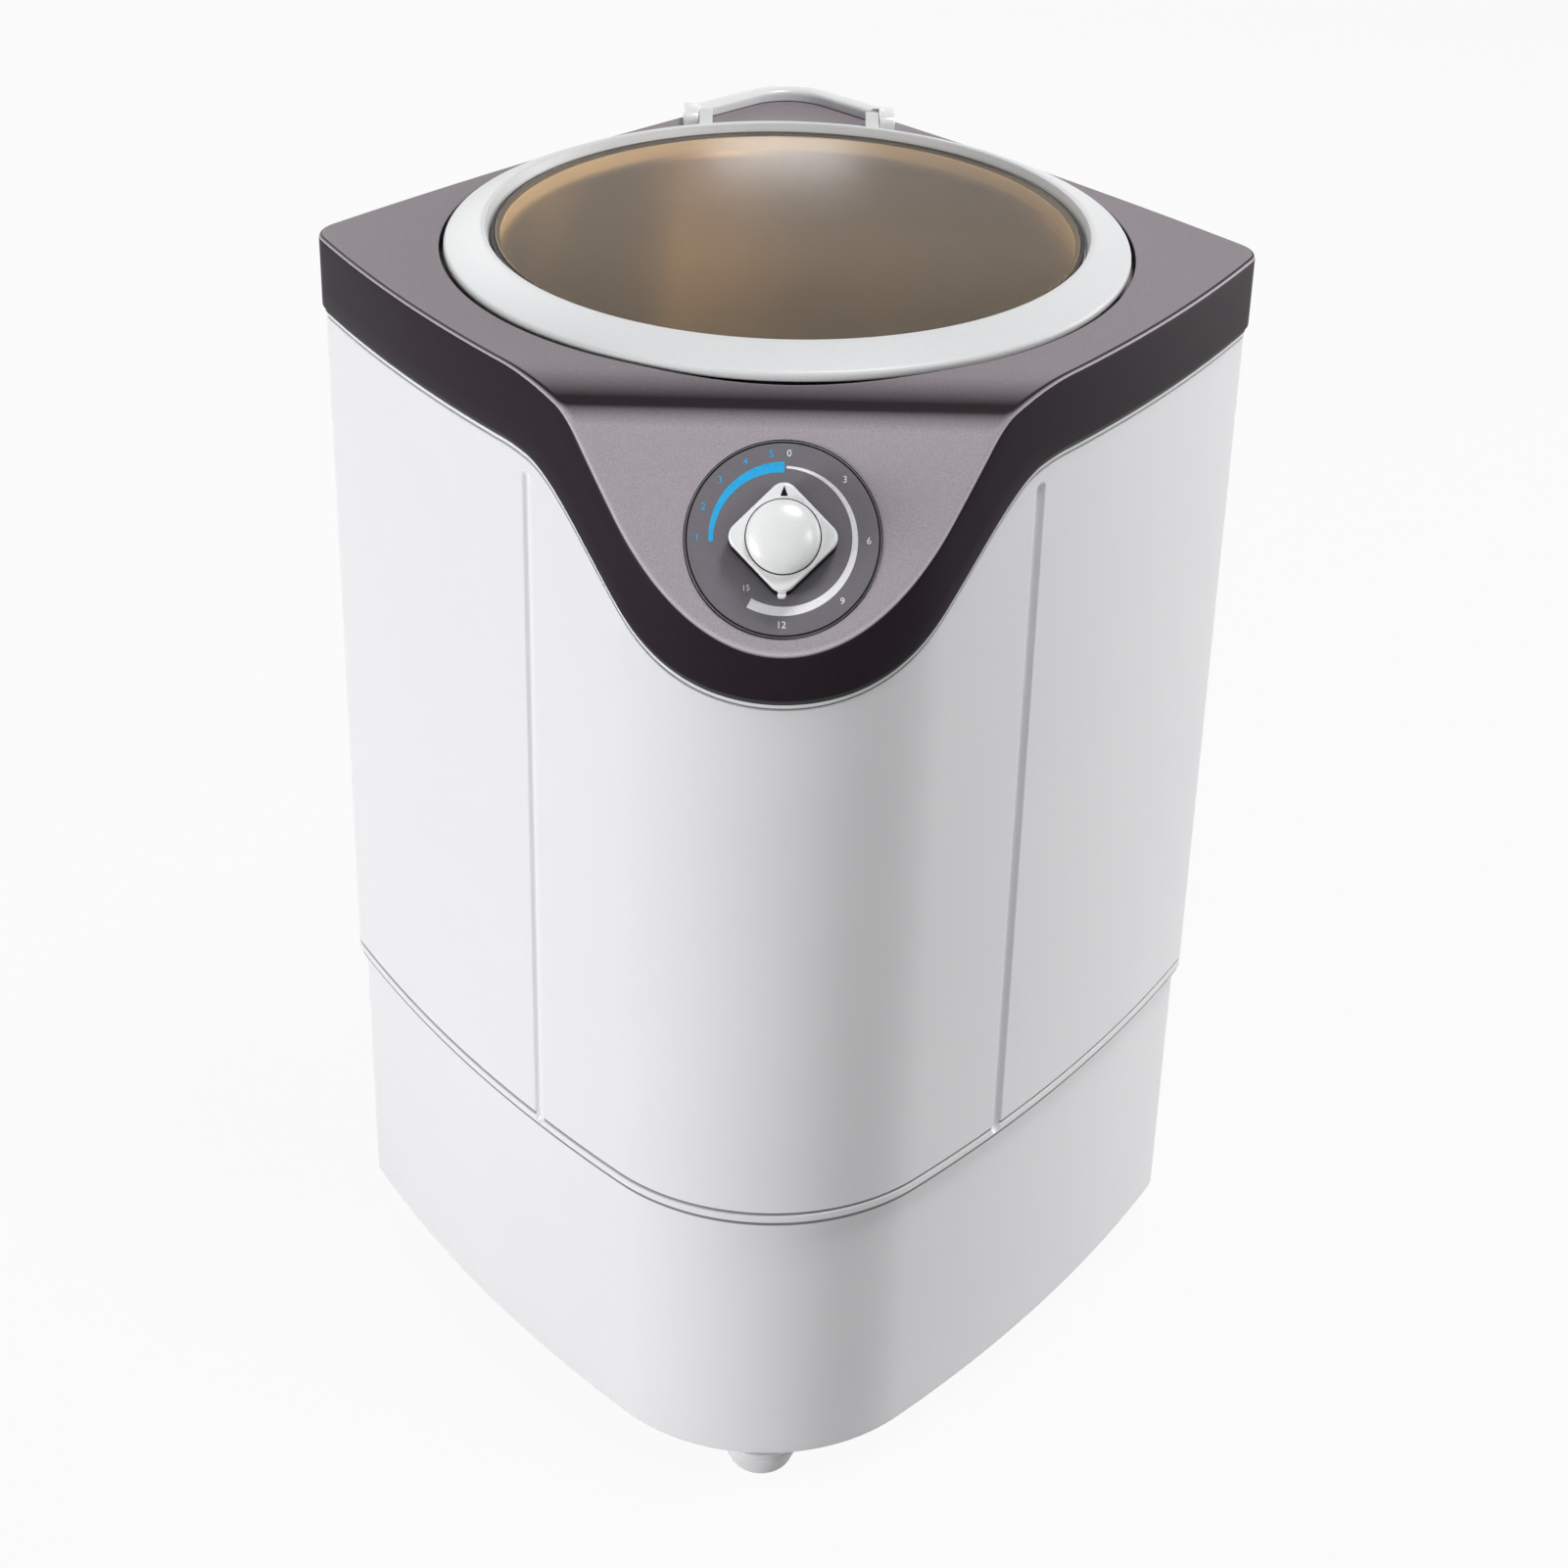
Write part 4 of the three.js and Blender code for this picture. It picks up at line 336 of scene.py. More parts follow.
def plan_samples():
    """The outline, counterclockwise from the rear, as (centre x, centre y, radius, angle) rows."""
    front, rear, side = CENTRES["front"], CENTRES["rear"], CENTRES["side"]
    rear_start = bearing(rear, CENTRES["rear_corner"])
    rear_end = bearing(rear, side)
    front_start = bearing(front, side)
    front_end = bearing(front, CENTRES["front_corner"])
    near_groove = 1.4 * GROOVE_WIDTH / 2 / FRONT_SIDE_BOW
    front_side = [
        (front_start, 0), (front_side_angle(-118), 6), (GROOVE_ANGLE - near_groove, 1.2),
        (GROOVE_ANGLE + near_groove, 0.35), (front_side_angle(CREASE_Y + 6), 1.2),
        (front_side_angle(CREASE_Y - 8), 0.5), (front_end, 1.2),
    ]
    arcs = [
        ("rear_corner", REAR_CORNER_RADIUS, [(math.pi / 2, 0), (rear_start, 2)]),
        ("rear", REAR_SIDE_BOW, [(rear_start, 0), (rear_end, 8)]),
        ("side", SIDE_CORNER_RADIUS, [(rear_end, 0), (front_start, 1.1)]),
        ("front", FRONT_SIDE_BOW, front_side),
        ("front_corner", FRONT_CORNER_RADIUS, [(front_end, 0), (1.5 * math.pi, 1.5)]),
    ]
    left = [
        (*CENTRES[name], radius, angle)
        for name, radius, breaks in arcs
        for angle in stepped(breaks, radius)
    ]
    right = [(-x, y, radius, math.pi - angle) for x, y, radius, angle in reversed(left[:-1])]
    first = (*CENTRES["rear_corner"], REAR_CORNER_RADIUS, math.pi / 2)
    return np.array([*left, *right, first])


PLAN = plan_samples()


def plan_at(inset):
    """The outline's points moved in square to it, by one inset or one for each sample."""
    reach = PLAN[:, 2] - inset
    x = PLAN[:, 0] + reach * np.cos(PLAN[:, 3])
    y = PLAN[:, 1] + reach * np.sin(PLAN[:, 3])
    return np.column_stack([x, y])


def plan_row(inset, z):
    """A loop round the outline at an inset and a height, or a height for each sample."""
    return np.column_stack([plan_at(inset), np.broadcast_to(z, len(PLAN))])


def plan_rows(*pairs):
    """Loops round the outline from (inset, height) pairs."""
    return [plan_row(*pair) for pair in pairs]


def top_height(y, rounding=CREASE_ROUND):
    """Height of the cover's upper surface: a flat top that droops to the control face."""
    behind = np.asarray(y) - CREASE_Y
    droop = np.maximum(1 - behind / DROOP_LENGTH, 0)
    top = TOP_Z - CREASE_DROP * droop**2
    face = TOP_Z - CREASE_DROP + FACE_SLOPE * behind
    blend = np.maximum(1 - np.abs(face - top) / rounding, 0)
    return np.minimum(top, face) - blend**2 * rounding / 4


def under_height(y):
    """Height of the cover's underside, a wall's thickness inside the upper surface."""
    slope = top_height(np.asarray(y) + 1) - top_height(y)
    inner = top_height(y) - WALL * np.hypot(1, slope)
    return np.minimum(inner, RECESS_Z - WALL)


def band_foot():
    """Height of the cover's lower edge at every sample: its band follows the upper edge, in
    one smooth curve past the crease."""
    edge = top_height(plan_at(0)[:, 1], FOOT_ROUND)
    face_foot = top_height(-HALF_DEPTH)
    share = (edge - face_foot) / (TOP_Z - face_foot)
    bulge = 4 * BAND_BULGE * share * (1 - share)
    return edge - BAND_FRONT - (BAND_SIDE - BAND_FRONT) * share - bulge


BAND_FOOT = band_foot()

# ---- places and axes

DIAL_CENTRE = Vector((0, CREASE_Y - (DIAL_DROP - CREASE_DROP) / FACE_SLOPE, TOP_Z - DIAL_DROP))
ON_DIAL = Matrix.Translation(DIAL_CENTRE) @ Matrix.Rotation(FACE_TILT, 4, "X")
ROUND_LID = Matrix.Translation((0, LID_Y, 0))
ALONG_X = Matrix(((0, 0, 1, 0), (1, 0, 0, 0), (0, 1, 0, 0), (0, 0, 0, 1)))


def out_of_rear(side, reach, z):
    """Puts local Z out through a rear side; side is -1 on the left and 1 on the right."""
    outward = Vector((side * HALF_ROOT, HALF_ROOT, 0))
    turn = Vector((0, 0, 1)).rotation_difference(outward).to_matrix().to_4x4()
    return Matrix.Translation(outward * reach + Vector((0, 0, z))) @ turn


def outward_reach(node, side):
    """How far a node reaches out through a rear side."""
    outward = Vector((side * HALF_ROOT, HALF_ROOT, 0))
    return max(vertex.co.dot(outward) for vertex in frame["nodes"][node].data.vertices) / MM


# ---- mesh making


def bend(start, corner, end, steps):
    """Points on a curve from start to end that heads for the corner at both ends. Each of
    the three is a vector, or a pair of an inset and a height for every sample."""
    shares = [k / steps for k in range(steps + 1)]
    return [start * (1 - t) ** 2 + corner * 2 * t * (1 - t) + end * t * t for t in shares]


def rounded(corners, steps):
    """A closed outline from (x, y, reach) corners, each cut back by its reach to a curve."""
    outline = []
    for i, (x, y, reach) in enumerate(corners):
        corner = Vector((x, y))
        if reach == 0:
            outline.append(corner)
            continue
        before = Vector(corners[i - 1][:2]) - corner
        after = Vector(corners[(i + 1) % len(corners)][:2]) - corner
        start = corner + before.normalized() * min(reach, before.length * 0.49)
        end = corner + after.normalized() * min(reach, after.length * 0.49)
        outline += bend(start, corner, end, steps)
    return outline


def circle(radius, count, centre=(0, 0)):
    """Points of a full circle."""
    turn = np.linspace(0, 2 * math.pi, count, endpoint=False)
    return [(centre[0] + radius * math.cos(a), centre[1] + radius * math.sin(a)) for a in turn]


def shrunk(outline, distance):
    """An outline with its points moved inward, square to it."""
    points = np.array([tuple(point) for point in outline], float)
    following = np.roll(points, -1, 0)
    along = following - np.roll(points, 1, 0)
    along /= np.linalg.norm(along, axis=1)[:, None]
    area = np.sum(points[:, 0] * following[:, 1] - points[:, 1] * following[:, 0])
    inward = np.column_stack([-along[:, 1], along[:, 0]]) * np.sign(area)
    return points + inward * distance


def placed(points, z, place):
    """Points of a plane at a height z, moved by a matrix."""
    return [place @ Vector((x, y, z)) for x, y in points]


def smooth(mesh):
    """Shades a mesh smooth but for its sharp edges."""
    mesh.shade_smooth()
    mesh.set_sharp_from_angle(angle=SHARP_ANGLE)


class Shell:
    """Points and faces of closed surfaces, gathered loop by loop."""

    def __init__(self):
        self.points = []
        self.faces = []

    def loop(self, points):
        start = len(self.points)
        self.points.extend(tuple(float(value) for value in point) for point in points)
        return list(range(start, len(self.points)))

    def bridge(self, first, second):
        """Faces between two closed loops of one length, or from a loop to a single point."""
        if len(first) == 1 and len(second) == 1:
            return
        count = max(len(first), len(second))
        for i in range(count):
            j = (i + 1) % count
            corners = (
                first[i % len(first)], first[j % len(first)],
                second[j % len(second)], second[i % len(second)],
            )
            self.faces.append(tuple(dict.fromkeys(corners)))

    def sweep(self, rows, closed=True):
        """Bands between rows of points, each row a closed loop or one point."""
        loops = [self.loop(row) for row in rows]
        for first, second in zip(loops, loops[1:] + loops[:1] if closed else loops[1:]):
            self.bridge(first, second)
        return loops

    def strip(self, rows):
        """Bands between rows of points, open at both ends."""
        return self.sweep(rows, closed=False)

    def fill(self, loops, flat=None, chords=()):
        """Triangles between an outer loop and the convex holes in it. flat gives each point's
        place in the plane of the loops, and chords are pairs of points joined by an edge."""
        names = [index for loop in loops for index in loop]
        plane = flat if flat is not None else [self.points[index] for index in names]
        place = {index: k for k, index in enumerate(names)}
        pairs = [pair for loop in loops for pair in zip(loop, loop[1:] + loop[:1])]
        edges = [(place[a], place[b]) for a, b in [*pairs, *chords]]
        points = [Vector(point[:2]) for point in plane]
        corners, _, triangles, sources, _, _ = delaunay_2d_cdt(points, edges, [], 1, TINY)
        if len(corners) != len(names):
            raise ValueError(f"fill: {len(names)} points became {len(corners)}")
        hole_of = {index: k for k, loop in enumerate(loops) for index in loop if k > 0}
        for triangle in triangles:
            face = [names[sources[corner][0]] for corner in triangle]
            holes = {hole_of.get(index) for index in face}
            if len(holes) > 1 or None in holes:
                self.faces.append(tuple(face))

    def turn(self, profile, place=ROUND_LID, segments=256):
        """Adds a solid turned about local Z from a closed profile of (radius, z) points."""
        self.sweep([
            placed(circle(radius, segments) if radius >= TINY else [(0, 0)], z, place)
            for radius, z in profile
        ])
        return self

    def draw_up(self, outline, bottom, top, place, bevel, steps=3, holes=()):
        """Adds a solid between two heights on an outline with holes, its rims rounded."""
        turn = np.linspace(0, math.pi / 2, steps + 1)
        rim = [(bevel * (1 - math.sin(a)), bevel * (1 - math.cos(a))) for a in turn]
        sections = [(inset, bottom + rise) for inset, rise in rim]
        sections += [(inset, top - rise) for inset, rise in reversed(rim)]
        ends = ([], [])
        for k, loop in enumerate([outline, *holes]):
            flats = [shrunk(loop, inset if k == 0 else -inset) for inset, _ in sections]
            rows = [placed(flat, z, place) for flat, (_, z) in zip(flats, sections)]
            loops = self.strip(rows)
            ends[0].append((loops[0], flats[0]))
            ends[1].append((loops[-1], flats[-1]))
        for end in ends:
            self.fill([loop for loop, _ in end], np.concatenate([flat for _, flat in end]))
        return self

    def mesh(self, name):
        """The shell as a mesh in metres, its faces turned outward."""
        mesh = bpy.data.meshes.new(name)
        mesh.from_pydata([Vector(point) * MM for point in self.points], [], self.faces)
        solid = bmesh.new()
        solid.from_mesh(mesh)
        bmesh.ops.recalc_face_normals(solid, faces=solid.faces)
        solid.to_mesh(mesh)
        solid.free()
        return mesh

    def make(self, name, finish, node=None, body="cabinet"):
        """Makes an object of the shell."""
        mesh = self.mesh(name)
        smooth(mesh)
        return show(name, mesh, finish, node, body)


def show(name, mesh, finish, node=None, body="cabinet"):
    """Shows a mesh in a finish, on a body, in place of the CAD node that it stands for."""
    piece = bpy.data.objects.new(name, mesh)
    bpy.context.scene.collection.objects.link(piece)
    mesh.materials.clear()
    mesh.materials.append(FINISHES[finish])
    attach(piece, body)
    if node:
        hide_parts(node)
    return piece


# ---- finishes


def linear(*levels):
    """A colour given in the usual 0-255 screen values, as linear light."""
    shares = [level / 255 for level in levels]
    return (*[s / 12.92 if s <= 0.04045 else ((s + 0.055) / 1.055) ** 2.4 for s in shares], 1)


def grey(level):
    """A grey of a linear level."""
    return (level, level, level, 1)


def feed(tree, target, inputs):
    """Links each input of a node to an output, or sets it to a plain value."""
    for name, value in inputs.items():
        if isinstance(value, bpy.types.NodeSocket):
            tree.links.new(value, target.inputs[name])
        else:
            target.inputs[name].default_value = value


def add_node(tree, kind, inputs=(), **settings):
    """A shader node with its settings and its inputs."""
    node = tree.nodes.new(f"ShaderNode{kind}")
    for setting, value in settings.items():
        setattr(node, setting, value)
    feed(tree, node, dict(inputs))
    return node


def mix_surface(tree, output, share, plain, other):
    """Shows a mix of two shaders: the plain one where the share is 0, the other where it is 1."""
    ends = {"Fac": share, 1: plain.outputs[0], 2: other.outputs[0]}
    mixed = add_node(tree, "MixShader", ends).outputs["Shader"]
    feed(tree, tree.nodes[output], {"Surface": mixed})


def sees_background(tree):
    """Output that is 1 for camera, glossy and transmission rays, so that metal and glass show
    the same white background as the camera, and 0 for the rays that carry light."""
    path = add_node(tree, "LightPath").outputs
    seen = path["Is Camera Ray"]
    for kind in ("Is Glossy Ray", "Is Transmission Ray"):
        either = add_node(tree, "Math", {0: seen, 1: path[kind]}, operation="MAXIMUM")
        seen = either.outputs["Value"]
    return seen


class Finish:
    """A material under construction: its nodes and the main shader."""

    def __init__(self, name, roughness, metallic=0.0, **sockets):
        self.material = bpy.data.materials.new(f"{name}_finish")
        self.material.use_nodes = True
        self.tree = self.material.node_tree
        self.shader = self.tree.nodes["Principled BSDF"]
        self.set(Roughness=roughness, Metallic=metallic, **sockets)
        self.place = self.node("TexCoord").outputs["Object"]

    def node(self, kind, inputs=(), **settings):
        return add_node(self.tree, kind, inputs, **settings)

    def set(self, **sockets):
        """Feeds sockets of the main shader, named with _ for a space."""
        inputs = {name.replace("_", " "): value for name, value in sockets.items()}
        feed(self.tree, self.shader, inputs)

    def noise(self, scale, detail=2, roughness=0.5, vector=None):
        inputs = {"Scale": scale, "Detail": detail, "Roughness": roughness}
        inputs["Vector"] = vector or self.place
        return self.node("TexNoise", inputs).outputs["Fac"]

    def ramp(self, value, *stops):
        """Colours along a value, as (position, colour) stops."""
        node = self.node("ValToRGB", {"Fac": value})
        elements = node.color_ramp.elements
        for element, (position, colour) in zip(elements, (stops[0], stops[-1])):
            element.position = position
            element.color = colour
        for position, colour in stops[1:-1]:
            elements.new(position).color = colour
        return node.outputs["Color"]

    def colour(self, value, *stops):
        self.set(Base_Color=self.ramp(value, *stops))

    def gloss(self, value, smoothest, roughest):
        """Lets a texture value move the roughness between two numbers."""
        spread = self.node("MapRange", {"Value": value, "To Min": smoothest, "To Max": roughest})
        self.set(Roughness=spread.outputs["Result"])

    def bump(self, value, distance, strength):
        inputs = {"Height": value, "Distance": distance, "Strength": strength}
        self.set(Normal=self.node("Bump", inputs).outputs["Normal"])


def moulded(name, colour, shade, roughness, grain=90, ripple=0.00002, **sockets):
    """Moulded plastic or rubber: slow, slight changes of tone, and where there is a ripple it is
    faint, with slight changes of gloss."""
    finish = Finish(name, roughness, **sockets)
    finish.colour(finish.noise(9), (0.1, colour), (0.9, shade))
    if ripple:
        finish.gloss(finish.noise(grain, 1), roughness * 0.94, roughness * 1.06)
        finish.bump(finish.noise(grain, 0), ripple, 0.3)
    return finish.material


def flaked(name, colour, flake, roughness, metallic=0.06, **sockets):
    """Metallic paint: fine flakes that differ in tone and tilt."""
    finish = Finish(name, roughness, metallic, **sockets)
    flakes = finish.noise(2600, roughness=0.6)
    finish.colour(flakes, (0.3, colour), (0.72, flake))
    finish.gloss(finish.noise(14, 3), roughness * 0.92, roughness * 1.1)
    finish.bump(flakes, 0.00004, 0.3)
    return finish.material


def metal(name, colour, shade, roughness, grain=900):
    """Machined, plated or cast metal."""
    finish = Finish(name, roughness, 1.0)
    patches = finish.noise(60, 4)
    finish.colour(patches, (0.3, shade), (0.7, colour))
    finish.gloss(patches, roughness * 0.8, roughness * 1.25)
    finish.bump(finish.noise(grain), 0.00004, 0.4)
    return finish.material


def printed(name, colour, shade, roughness, **sockets):
    """Screen-printed ink with a slightly uneven coat."""
    finish = Finish(name, roughness, **sockets)
    coat = finish.noise(700, 3)
    finish.colour(coat, (0.25, shade), (0.6, colour))
    finish.gloss(coat, roughness * 0.8, roughness * 1.2)
    finish.bump(coat, 0.00002, 0.3)
    return finish.material


def cover_paint():
    """Purple-grey metallic paint whose tone follows the surface's tilt, with painted light and
    shade: dark upright and where the top droops, paler on the control face than on the top,
    and a painted highlight on rounded edges between upright and face."""
    finish = Finish("cover_plastic", 0.42, Specular_IOR_Level=0.05)
    facing = finish.node("TexCoord").outputs["Normal"]
    tilt = finish.node("SeparateXYZ", {"Vector": facing}).outputs["Z"]
    # Painted shade and light by tilt: dark upright and in the droop, paler on the face than on the
    # top.
    upright, face = linear(42, 34, 40), linear(175, 167, 174)
    droop, top = linear(46, 36, 41), linear(149, 141, 146)
    # Painted highlight on rounded edges whose tilt lies between upright and face.
    edge = linear(206, 200, 206)
    tilt_shade_tone = finish.ramp(
        tilt, (0, upright), (0.26, upright), (0.36, edge), (0.46, face), (0.56, face),
        (0.84, droop), (0.93, droop), (0.992, top), (1, top),
    )
    flakes = finish.noise(2400, roughness=0.6)
    spark = finish.ramp(flakes, (0.3, grey(0.78)), (0.75, grey(1.25)))
    both = {0: 1, 6: tilt_shade_tone, 7: spark}
    mixed = finish.node("Mix", both, data_type="RGBA", blend_type="MULTIPLY")
    finish.set(Base_Color=mixed.outputs[2])
    finish.gloss(finish.noise(14, 3), 0.36, 0.44)
    finish.bump(flakes, 0.00003, 0.25)
    return finish.material


def tub_steel():
    """Stainless steel brushed round the tub: streaks follow its turning on wall and floor."""
    finish = Finish("tub_steel", 0.5, 1.0, Anisotropic=0.9, Anisotropic_Rotation=0.25)
    split = finish.node("SeparateXYZ", {"Vector": finish.place}).outputs
    flat = finish.node("Mapping", {"Vector": finish.place, "Scale": (1, 1, 0)})
    radius = finish.node("VectorMath", {0: flat.outputs["Vector"]}, operation="LENGTH")
    ends = {0: radius.outputs["Value"], 1: split["Z"]}
    across = finish.node("Math", ends, operation="ADD").outputs["Value"]
    lines = finish.node("CombineXYZ", {"X": split["X"], "Y": split["Y"], "Z": across})
    streak = finish.node("Mapping", {"Vector": lines.outputs["Vector"], "Scale": (5, 5, 700)})
    streaks = finish.noise(1, 4, 0.65, streak.outputs["Vector"])
    finish.colour(streaks, (0.3, linear(116, 106, 90)), (0.7, linear(182, 170, 150)))
    finish.gloss(streaks, 0.34, 0.46)
    finish.bump(streaks, 0.00004, 0.25)
    tangent = finish.node("Tangent", direction_type="RADIAL", axis="Z")
    finish.set(Tangent=tangent.outputs["Tangent"])
    return finish.material


def smoked_window():
    """Smoke-brown clear plastic that lets the lamps through to the tub, tinted."""
    finish = Finish("smoked_window", 0.18, Transmission_Weight=1.0, IOR=1.2)
    finish.gloss(finish.noise(30), 0.17, 0.21)
    finish.colour(finish.noise(3), (0.3, linear(206, 182, 146)), (0.7, linear(214, 190, 154)))
    pane = finish.node("BsdfTransparent", {"Color": linear(250, 240, 222)})
    shadow = finish.node("LightPath").outputs["Is Shadow Ray"]
    mix_surface(finish.tree, "Material Output", shadow, finish.shader, pane)
    return finish.material


def make_finishes():
    """One material for each slot of the record, and a few of the visual pieces' own."""
    glossy_white = {"Specular_IOR_Level": 0.3, "Coat_Weight": 0.25, "Coat_Roughness": 0.12}
    rows = (
        (moulded, "white_plastic", (236, 236, 238), (232, 232, 235), 0.28,
         {"ripple": 0, **glossy_white}),
        (moulded, "black_rubber", (34, 34, 35), (44, 44, 45), 0.72, {"grain": 900}),
        (moulded, "grey_rubber", (228, 228, 230), (218, 218, 220), 0.6, {"grain": 900}),
        # Grey of the strips that paint the shade in the body's lines and the seam.
        (moulded, "seam_rubber", (128, 128, 130), (116, 116, 118), 0.6, {"grain": 900}),
        (moulded, "grey_plastic", (190, 193, 197), (182, 185, 189), 0.42, {}),
        (moulded, "dark_plastic", (50, 50, 53), (58, 58, 61), 0.45, {}),
        (flaked, "silver_plastic", (218, 219, 220), (234, 235, 236), 0.45,
         {"Specular_IOR_Level": 0.3}),
        (flaked, "knob_plastic", (232, 233, 234), (246, 247, 247), 0.3, {}),
        (flaked, "dial_ink", (100, 96, 103), (118, 114, 121), 0.45, {"metallic": 0.15}),
        (metal, "shaft_steel", (190, 192, 196), (150, 152, 156), 0.32, {}),
        (metal, "screw_steel", (205, 206, 210), (160, 160, 164), 0.3, {}),
        (metal, "cast_aluminium", (188, 190, 192), (150, 152, 154), 0.48, {"grain": 500}),
        (printed, "white_ink", (252, 252, 253), (242, 242, 245), 0.5, {}),
        (printed, "blue_ink", (36, 178, 238), (30, 166, 226), 0.5, {}),
        (printed, "black_ink", (12, 11, 13), (20, 19, 21), 0.5, {"Specular_IOR_Level": 0.1}),
    )
    finishes = {
        name: kind(name, linear(*colour), linear(*second), roughness, **more)
        for kind, name, colour, second, roughness, more in rows
    }
    finishes["cover_plastic"] = cover_paint()
    finishes["tub_steel"] = tub_steel()
    finishes["smoked_window"] = smoked_window()
    return finishes


SLOT_OF = {ink: "dial_ink" for ink in ("white_ink", "blue_ink", "black_ink")}
SLOT_OF.update(seam_rubber="grey_rubber", knob_plastic="silver_plastic")
FINISHES = make_finishes()

# ---- cover and shells


def surface_at(inset):
    """Height of the cover's upper surface at every sample, for an inset."""
    return top_height(plan_at(inset)[:, 1])


def cover_chords(inset):
    """Pairs of mirrored samples that lie where the cover droops: (left, right, y) rows."""
    rows = []
    for i, (x, y) in enumerate(plan_at(inset)):
        if x < -TINY and CREASE_Y - CREASE_REACH < y < CREASE_Y + DROOP_LENGTH + 1:
            rows.append((i, (len(PLAN) - 2 - i) % len(PLAN), y))
    return rows


def chord_angles(y, radius):
    """Angles on the left and right at which a line across at y meets a circle round the lid,
    or none."""
    rise = (y - LID_Y) / radius
    if abs(rise) >= 1:
        return []
    return [(math.pi - math.asin(rise)) % (2 * math.pi), math.asin(rise) % (2 * math.pi)]


def recess_angles(chords, radius, count=256):
    """Angles round the lid recess, among them those where chords meet a radius."""
    meets = [angle for _, _, y in chords for angle in chord_angles(y, radius)]
    spacing = 2 * math.pi / count
    even = [k * spacing for k in range(count)]
    free = [a for a in even if all(abs(a - meet) > spacing / 4 for meet in meets)]
    return np.array(sorted(free + meets))


def at_recess(angles, radius, drop=0.0, z=None):
    """A loop round the lid's middle, on the cover's surface less a drop, or at a height."""
    x = radius * np.cos(angles)
    y = LID_Y + radius * np.sin(angles)
    height = top_height(y) - drop if z is None else np.full(len(angles), z)
    return np.column_stack([x, y, height])


def top_cover():
    """Top cover: its upper face is filled between the rounded edge, the lid recess and the
    dial's pocket, with edges straight across where the face droops and creases."""
    shell = Shell()
    edge = plan_at(0)
    edge_z = surface_at(0)
    room = np.hypot(edge[:, 0], edge[:, 1] - LID_Y) - RECESS_RADIUS
    edge_run = np.minimum(room - RECESS_LIP - 2 * SUPPORT - 0.1, EDGE_RUN)
    band_z = edge_z - EDGE_DROP
    start = np.array([edge_run, surface_at(edge_run)])
    corner = np.array([np.zeros(len(PLAN)), edge_z])
    end = np.array([np.zeros(len(PLAN)), band_z])
    crown = edge_run + SUPPORT
    outer = shell.strip(plan_rows(
        (crown, surface_at(crown)), *bend(start, corner, end, 7),
        (0, band_z + (BAND_FOOT - band_z) * 0.3), (0, band_z + (BAND_FOOT - band_z) * 0.7),
        (0, BAND_FOOT + BAND_ROUND), (0.22 * BAND_ROUND, BAND_FOOT + 0.22 * BAND_ROUND),
        (BAND_ROUND, BAND_FOOT), (WALL - GAP, BAND_FOOT), (WALL, BAND_FOOT + GAP),
        (WALL, under_height(plan_at(WALL)[:, 1])),
    ))

    chords = cover_chords(crown)
    crown_radius = RECESS_RADIUS + RECESS_LIP + SUPPORT
    angles = recess_angles(chords, crown_radius)
    lip = [
        (crown_radius, 0), (RECESS_RADIUS + RECESS_LIP, 0),
        (RECESS_RADIUS + 0.3 * RECESS_LIP, 0.2 * RECESS_LIP), (RECESS_RADIUS, 0.9 * RECESS_LIP),
    ]
    under = TUB_LEDGE_RADIUS + WALL
    steps = [
        (RECESS_RADIUS, RECESS_Z + GAP), (RECESS_RADIUS - GAP, RECESS_Z),
        (TUB_LEDGE_RADIUS + GAP, RECESS_Z), (TUB_LEDGE_RADIUS, RECESS_Z - GAP),
        (TUB_LEDGE_RADIUS, TUB_LEDGE_Z), (OPENING_RADIUS, TUB_LEDGE_Z),
        (OPENING_RADIUS, TUB_LEDGE_Z - WALL), (under, TUB_LEDGE_Z - WALL),
        (under, RECESS_Z - WALL),
    ]
    rows = [at_recess(angles, radius, drop) for radius, drop in lip]
    recess = shell.strip(rows + [at_recess(angles, radius, z=z) for radius, z in steps])

    pocket = DIAL_RADIUS + GAP
    steps = [
        (pocket + POCKET_LIP + SUPPORT, 0), (pocket + POCKET_LIP, 0), (pocket + 0.15, -0.1),
        (pocket, -0.4), (pocket, -DIAL_POCKET), (SHAFT_HOLE, -DIAL_POCKET), (SHAFT_HOLE, -WALL),
    ]
    dial = shell.strip([placed(circle(radius, 96), z, ON_DIAL) for radius, z in steps])

    across = []
    place = {round(float(angle), 9): index for index, angle in zip(recess[0], angles)}
    for left, right, y in chords:
        meets = [place[round(angle, 9)] for angle in chord_angles(y, crown_radius)]
        if meets:
            across += [(outer[0][left], meets[0]), (outer[0][right], meets[1])]
        else:
            across.append((outer[0][left], outer[0][right]))
    shell.fill([outer[0], recess[0], dial[0]], chords=across)
    below = [(outer[-1][left], outer[-1][right]) for left, right, _ in cover_chords(WALL)]
    shell.fill([outer[-1], recess[-1], dial[-1]], chords=below)
    shell.make("cover_shell", "cover_plastic", "top_cover")


def groove_offset():
    """Each sample's distance from the middle line of the nearest groove."""
    points = plan_at(BODY_INSET)
    reach = FRONT_SIDE_BOW - BODY_INSET
    x = CENTRES["front"].x + reach * math.cos(GROOVE_ANGLE)
    y = CENTRES["front"].y + reach * math.sin(GROOVE_ANGLE)
    middle = Vector((x, y))
    return np.hypot(np.abs(points[:, 0]) + middle.x, points[:, 1] - middle.y)


def groove_dent(z):
    """Depth of the upright grooves at every sample, for a height of each sample."""
    above = z - (BAND_FOOT - GROOVE_TOP_BELOW - GROOVE_WIDTH / 2)
    below = SEAM_Z + GROOVE_FOOT_RISE + GROOVE_WIDTH / 2 - z
    distance = np.hypot(groove_offset(), np.maximum(np.maximum(above, below), 0))
    flank = (GROOVE_WIDTH - GROOVE_BED) / 2
    share = np.clip((GROOVE_WIDTH / 2 - distance) / flank, 0, 1)
    return GROOVE_DEPTH * share * share * (3 - 2 * share)


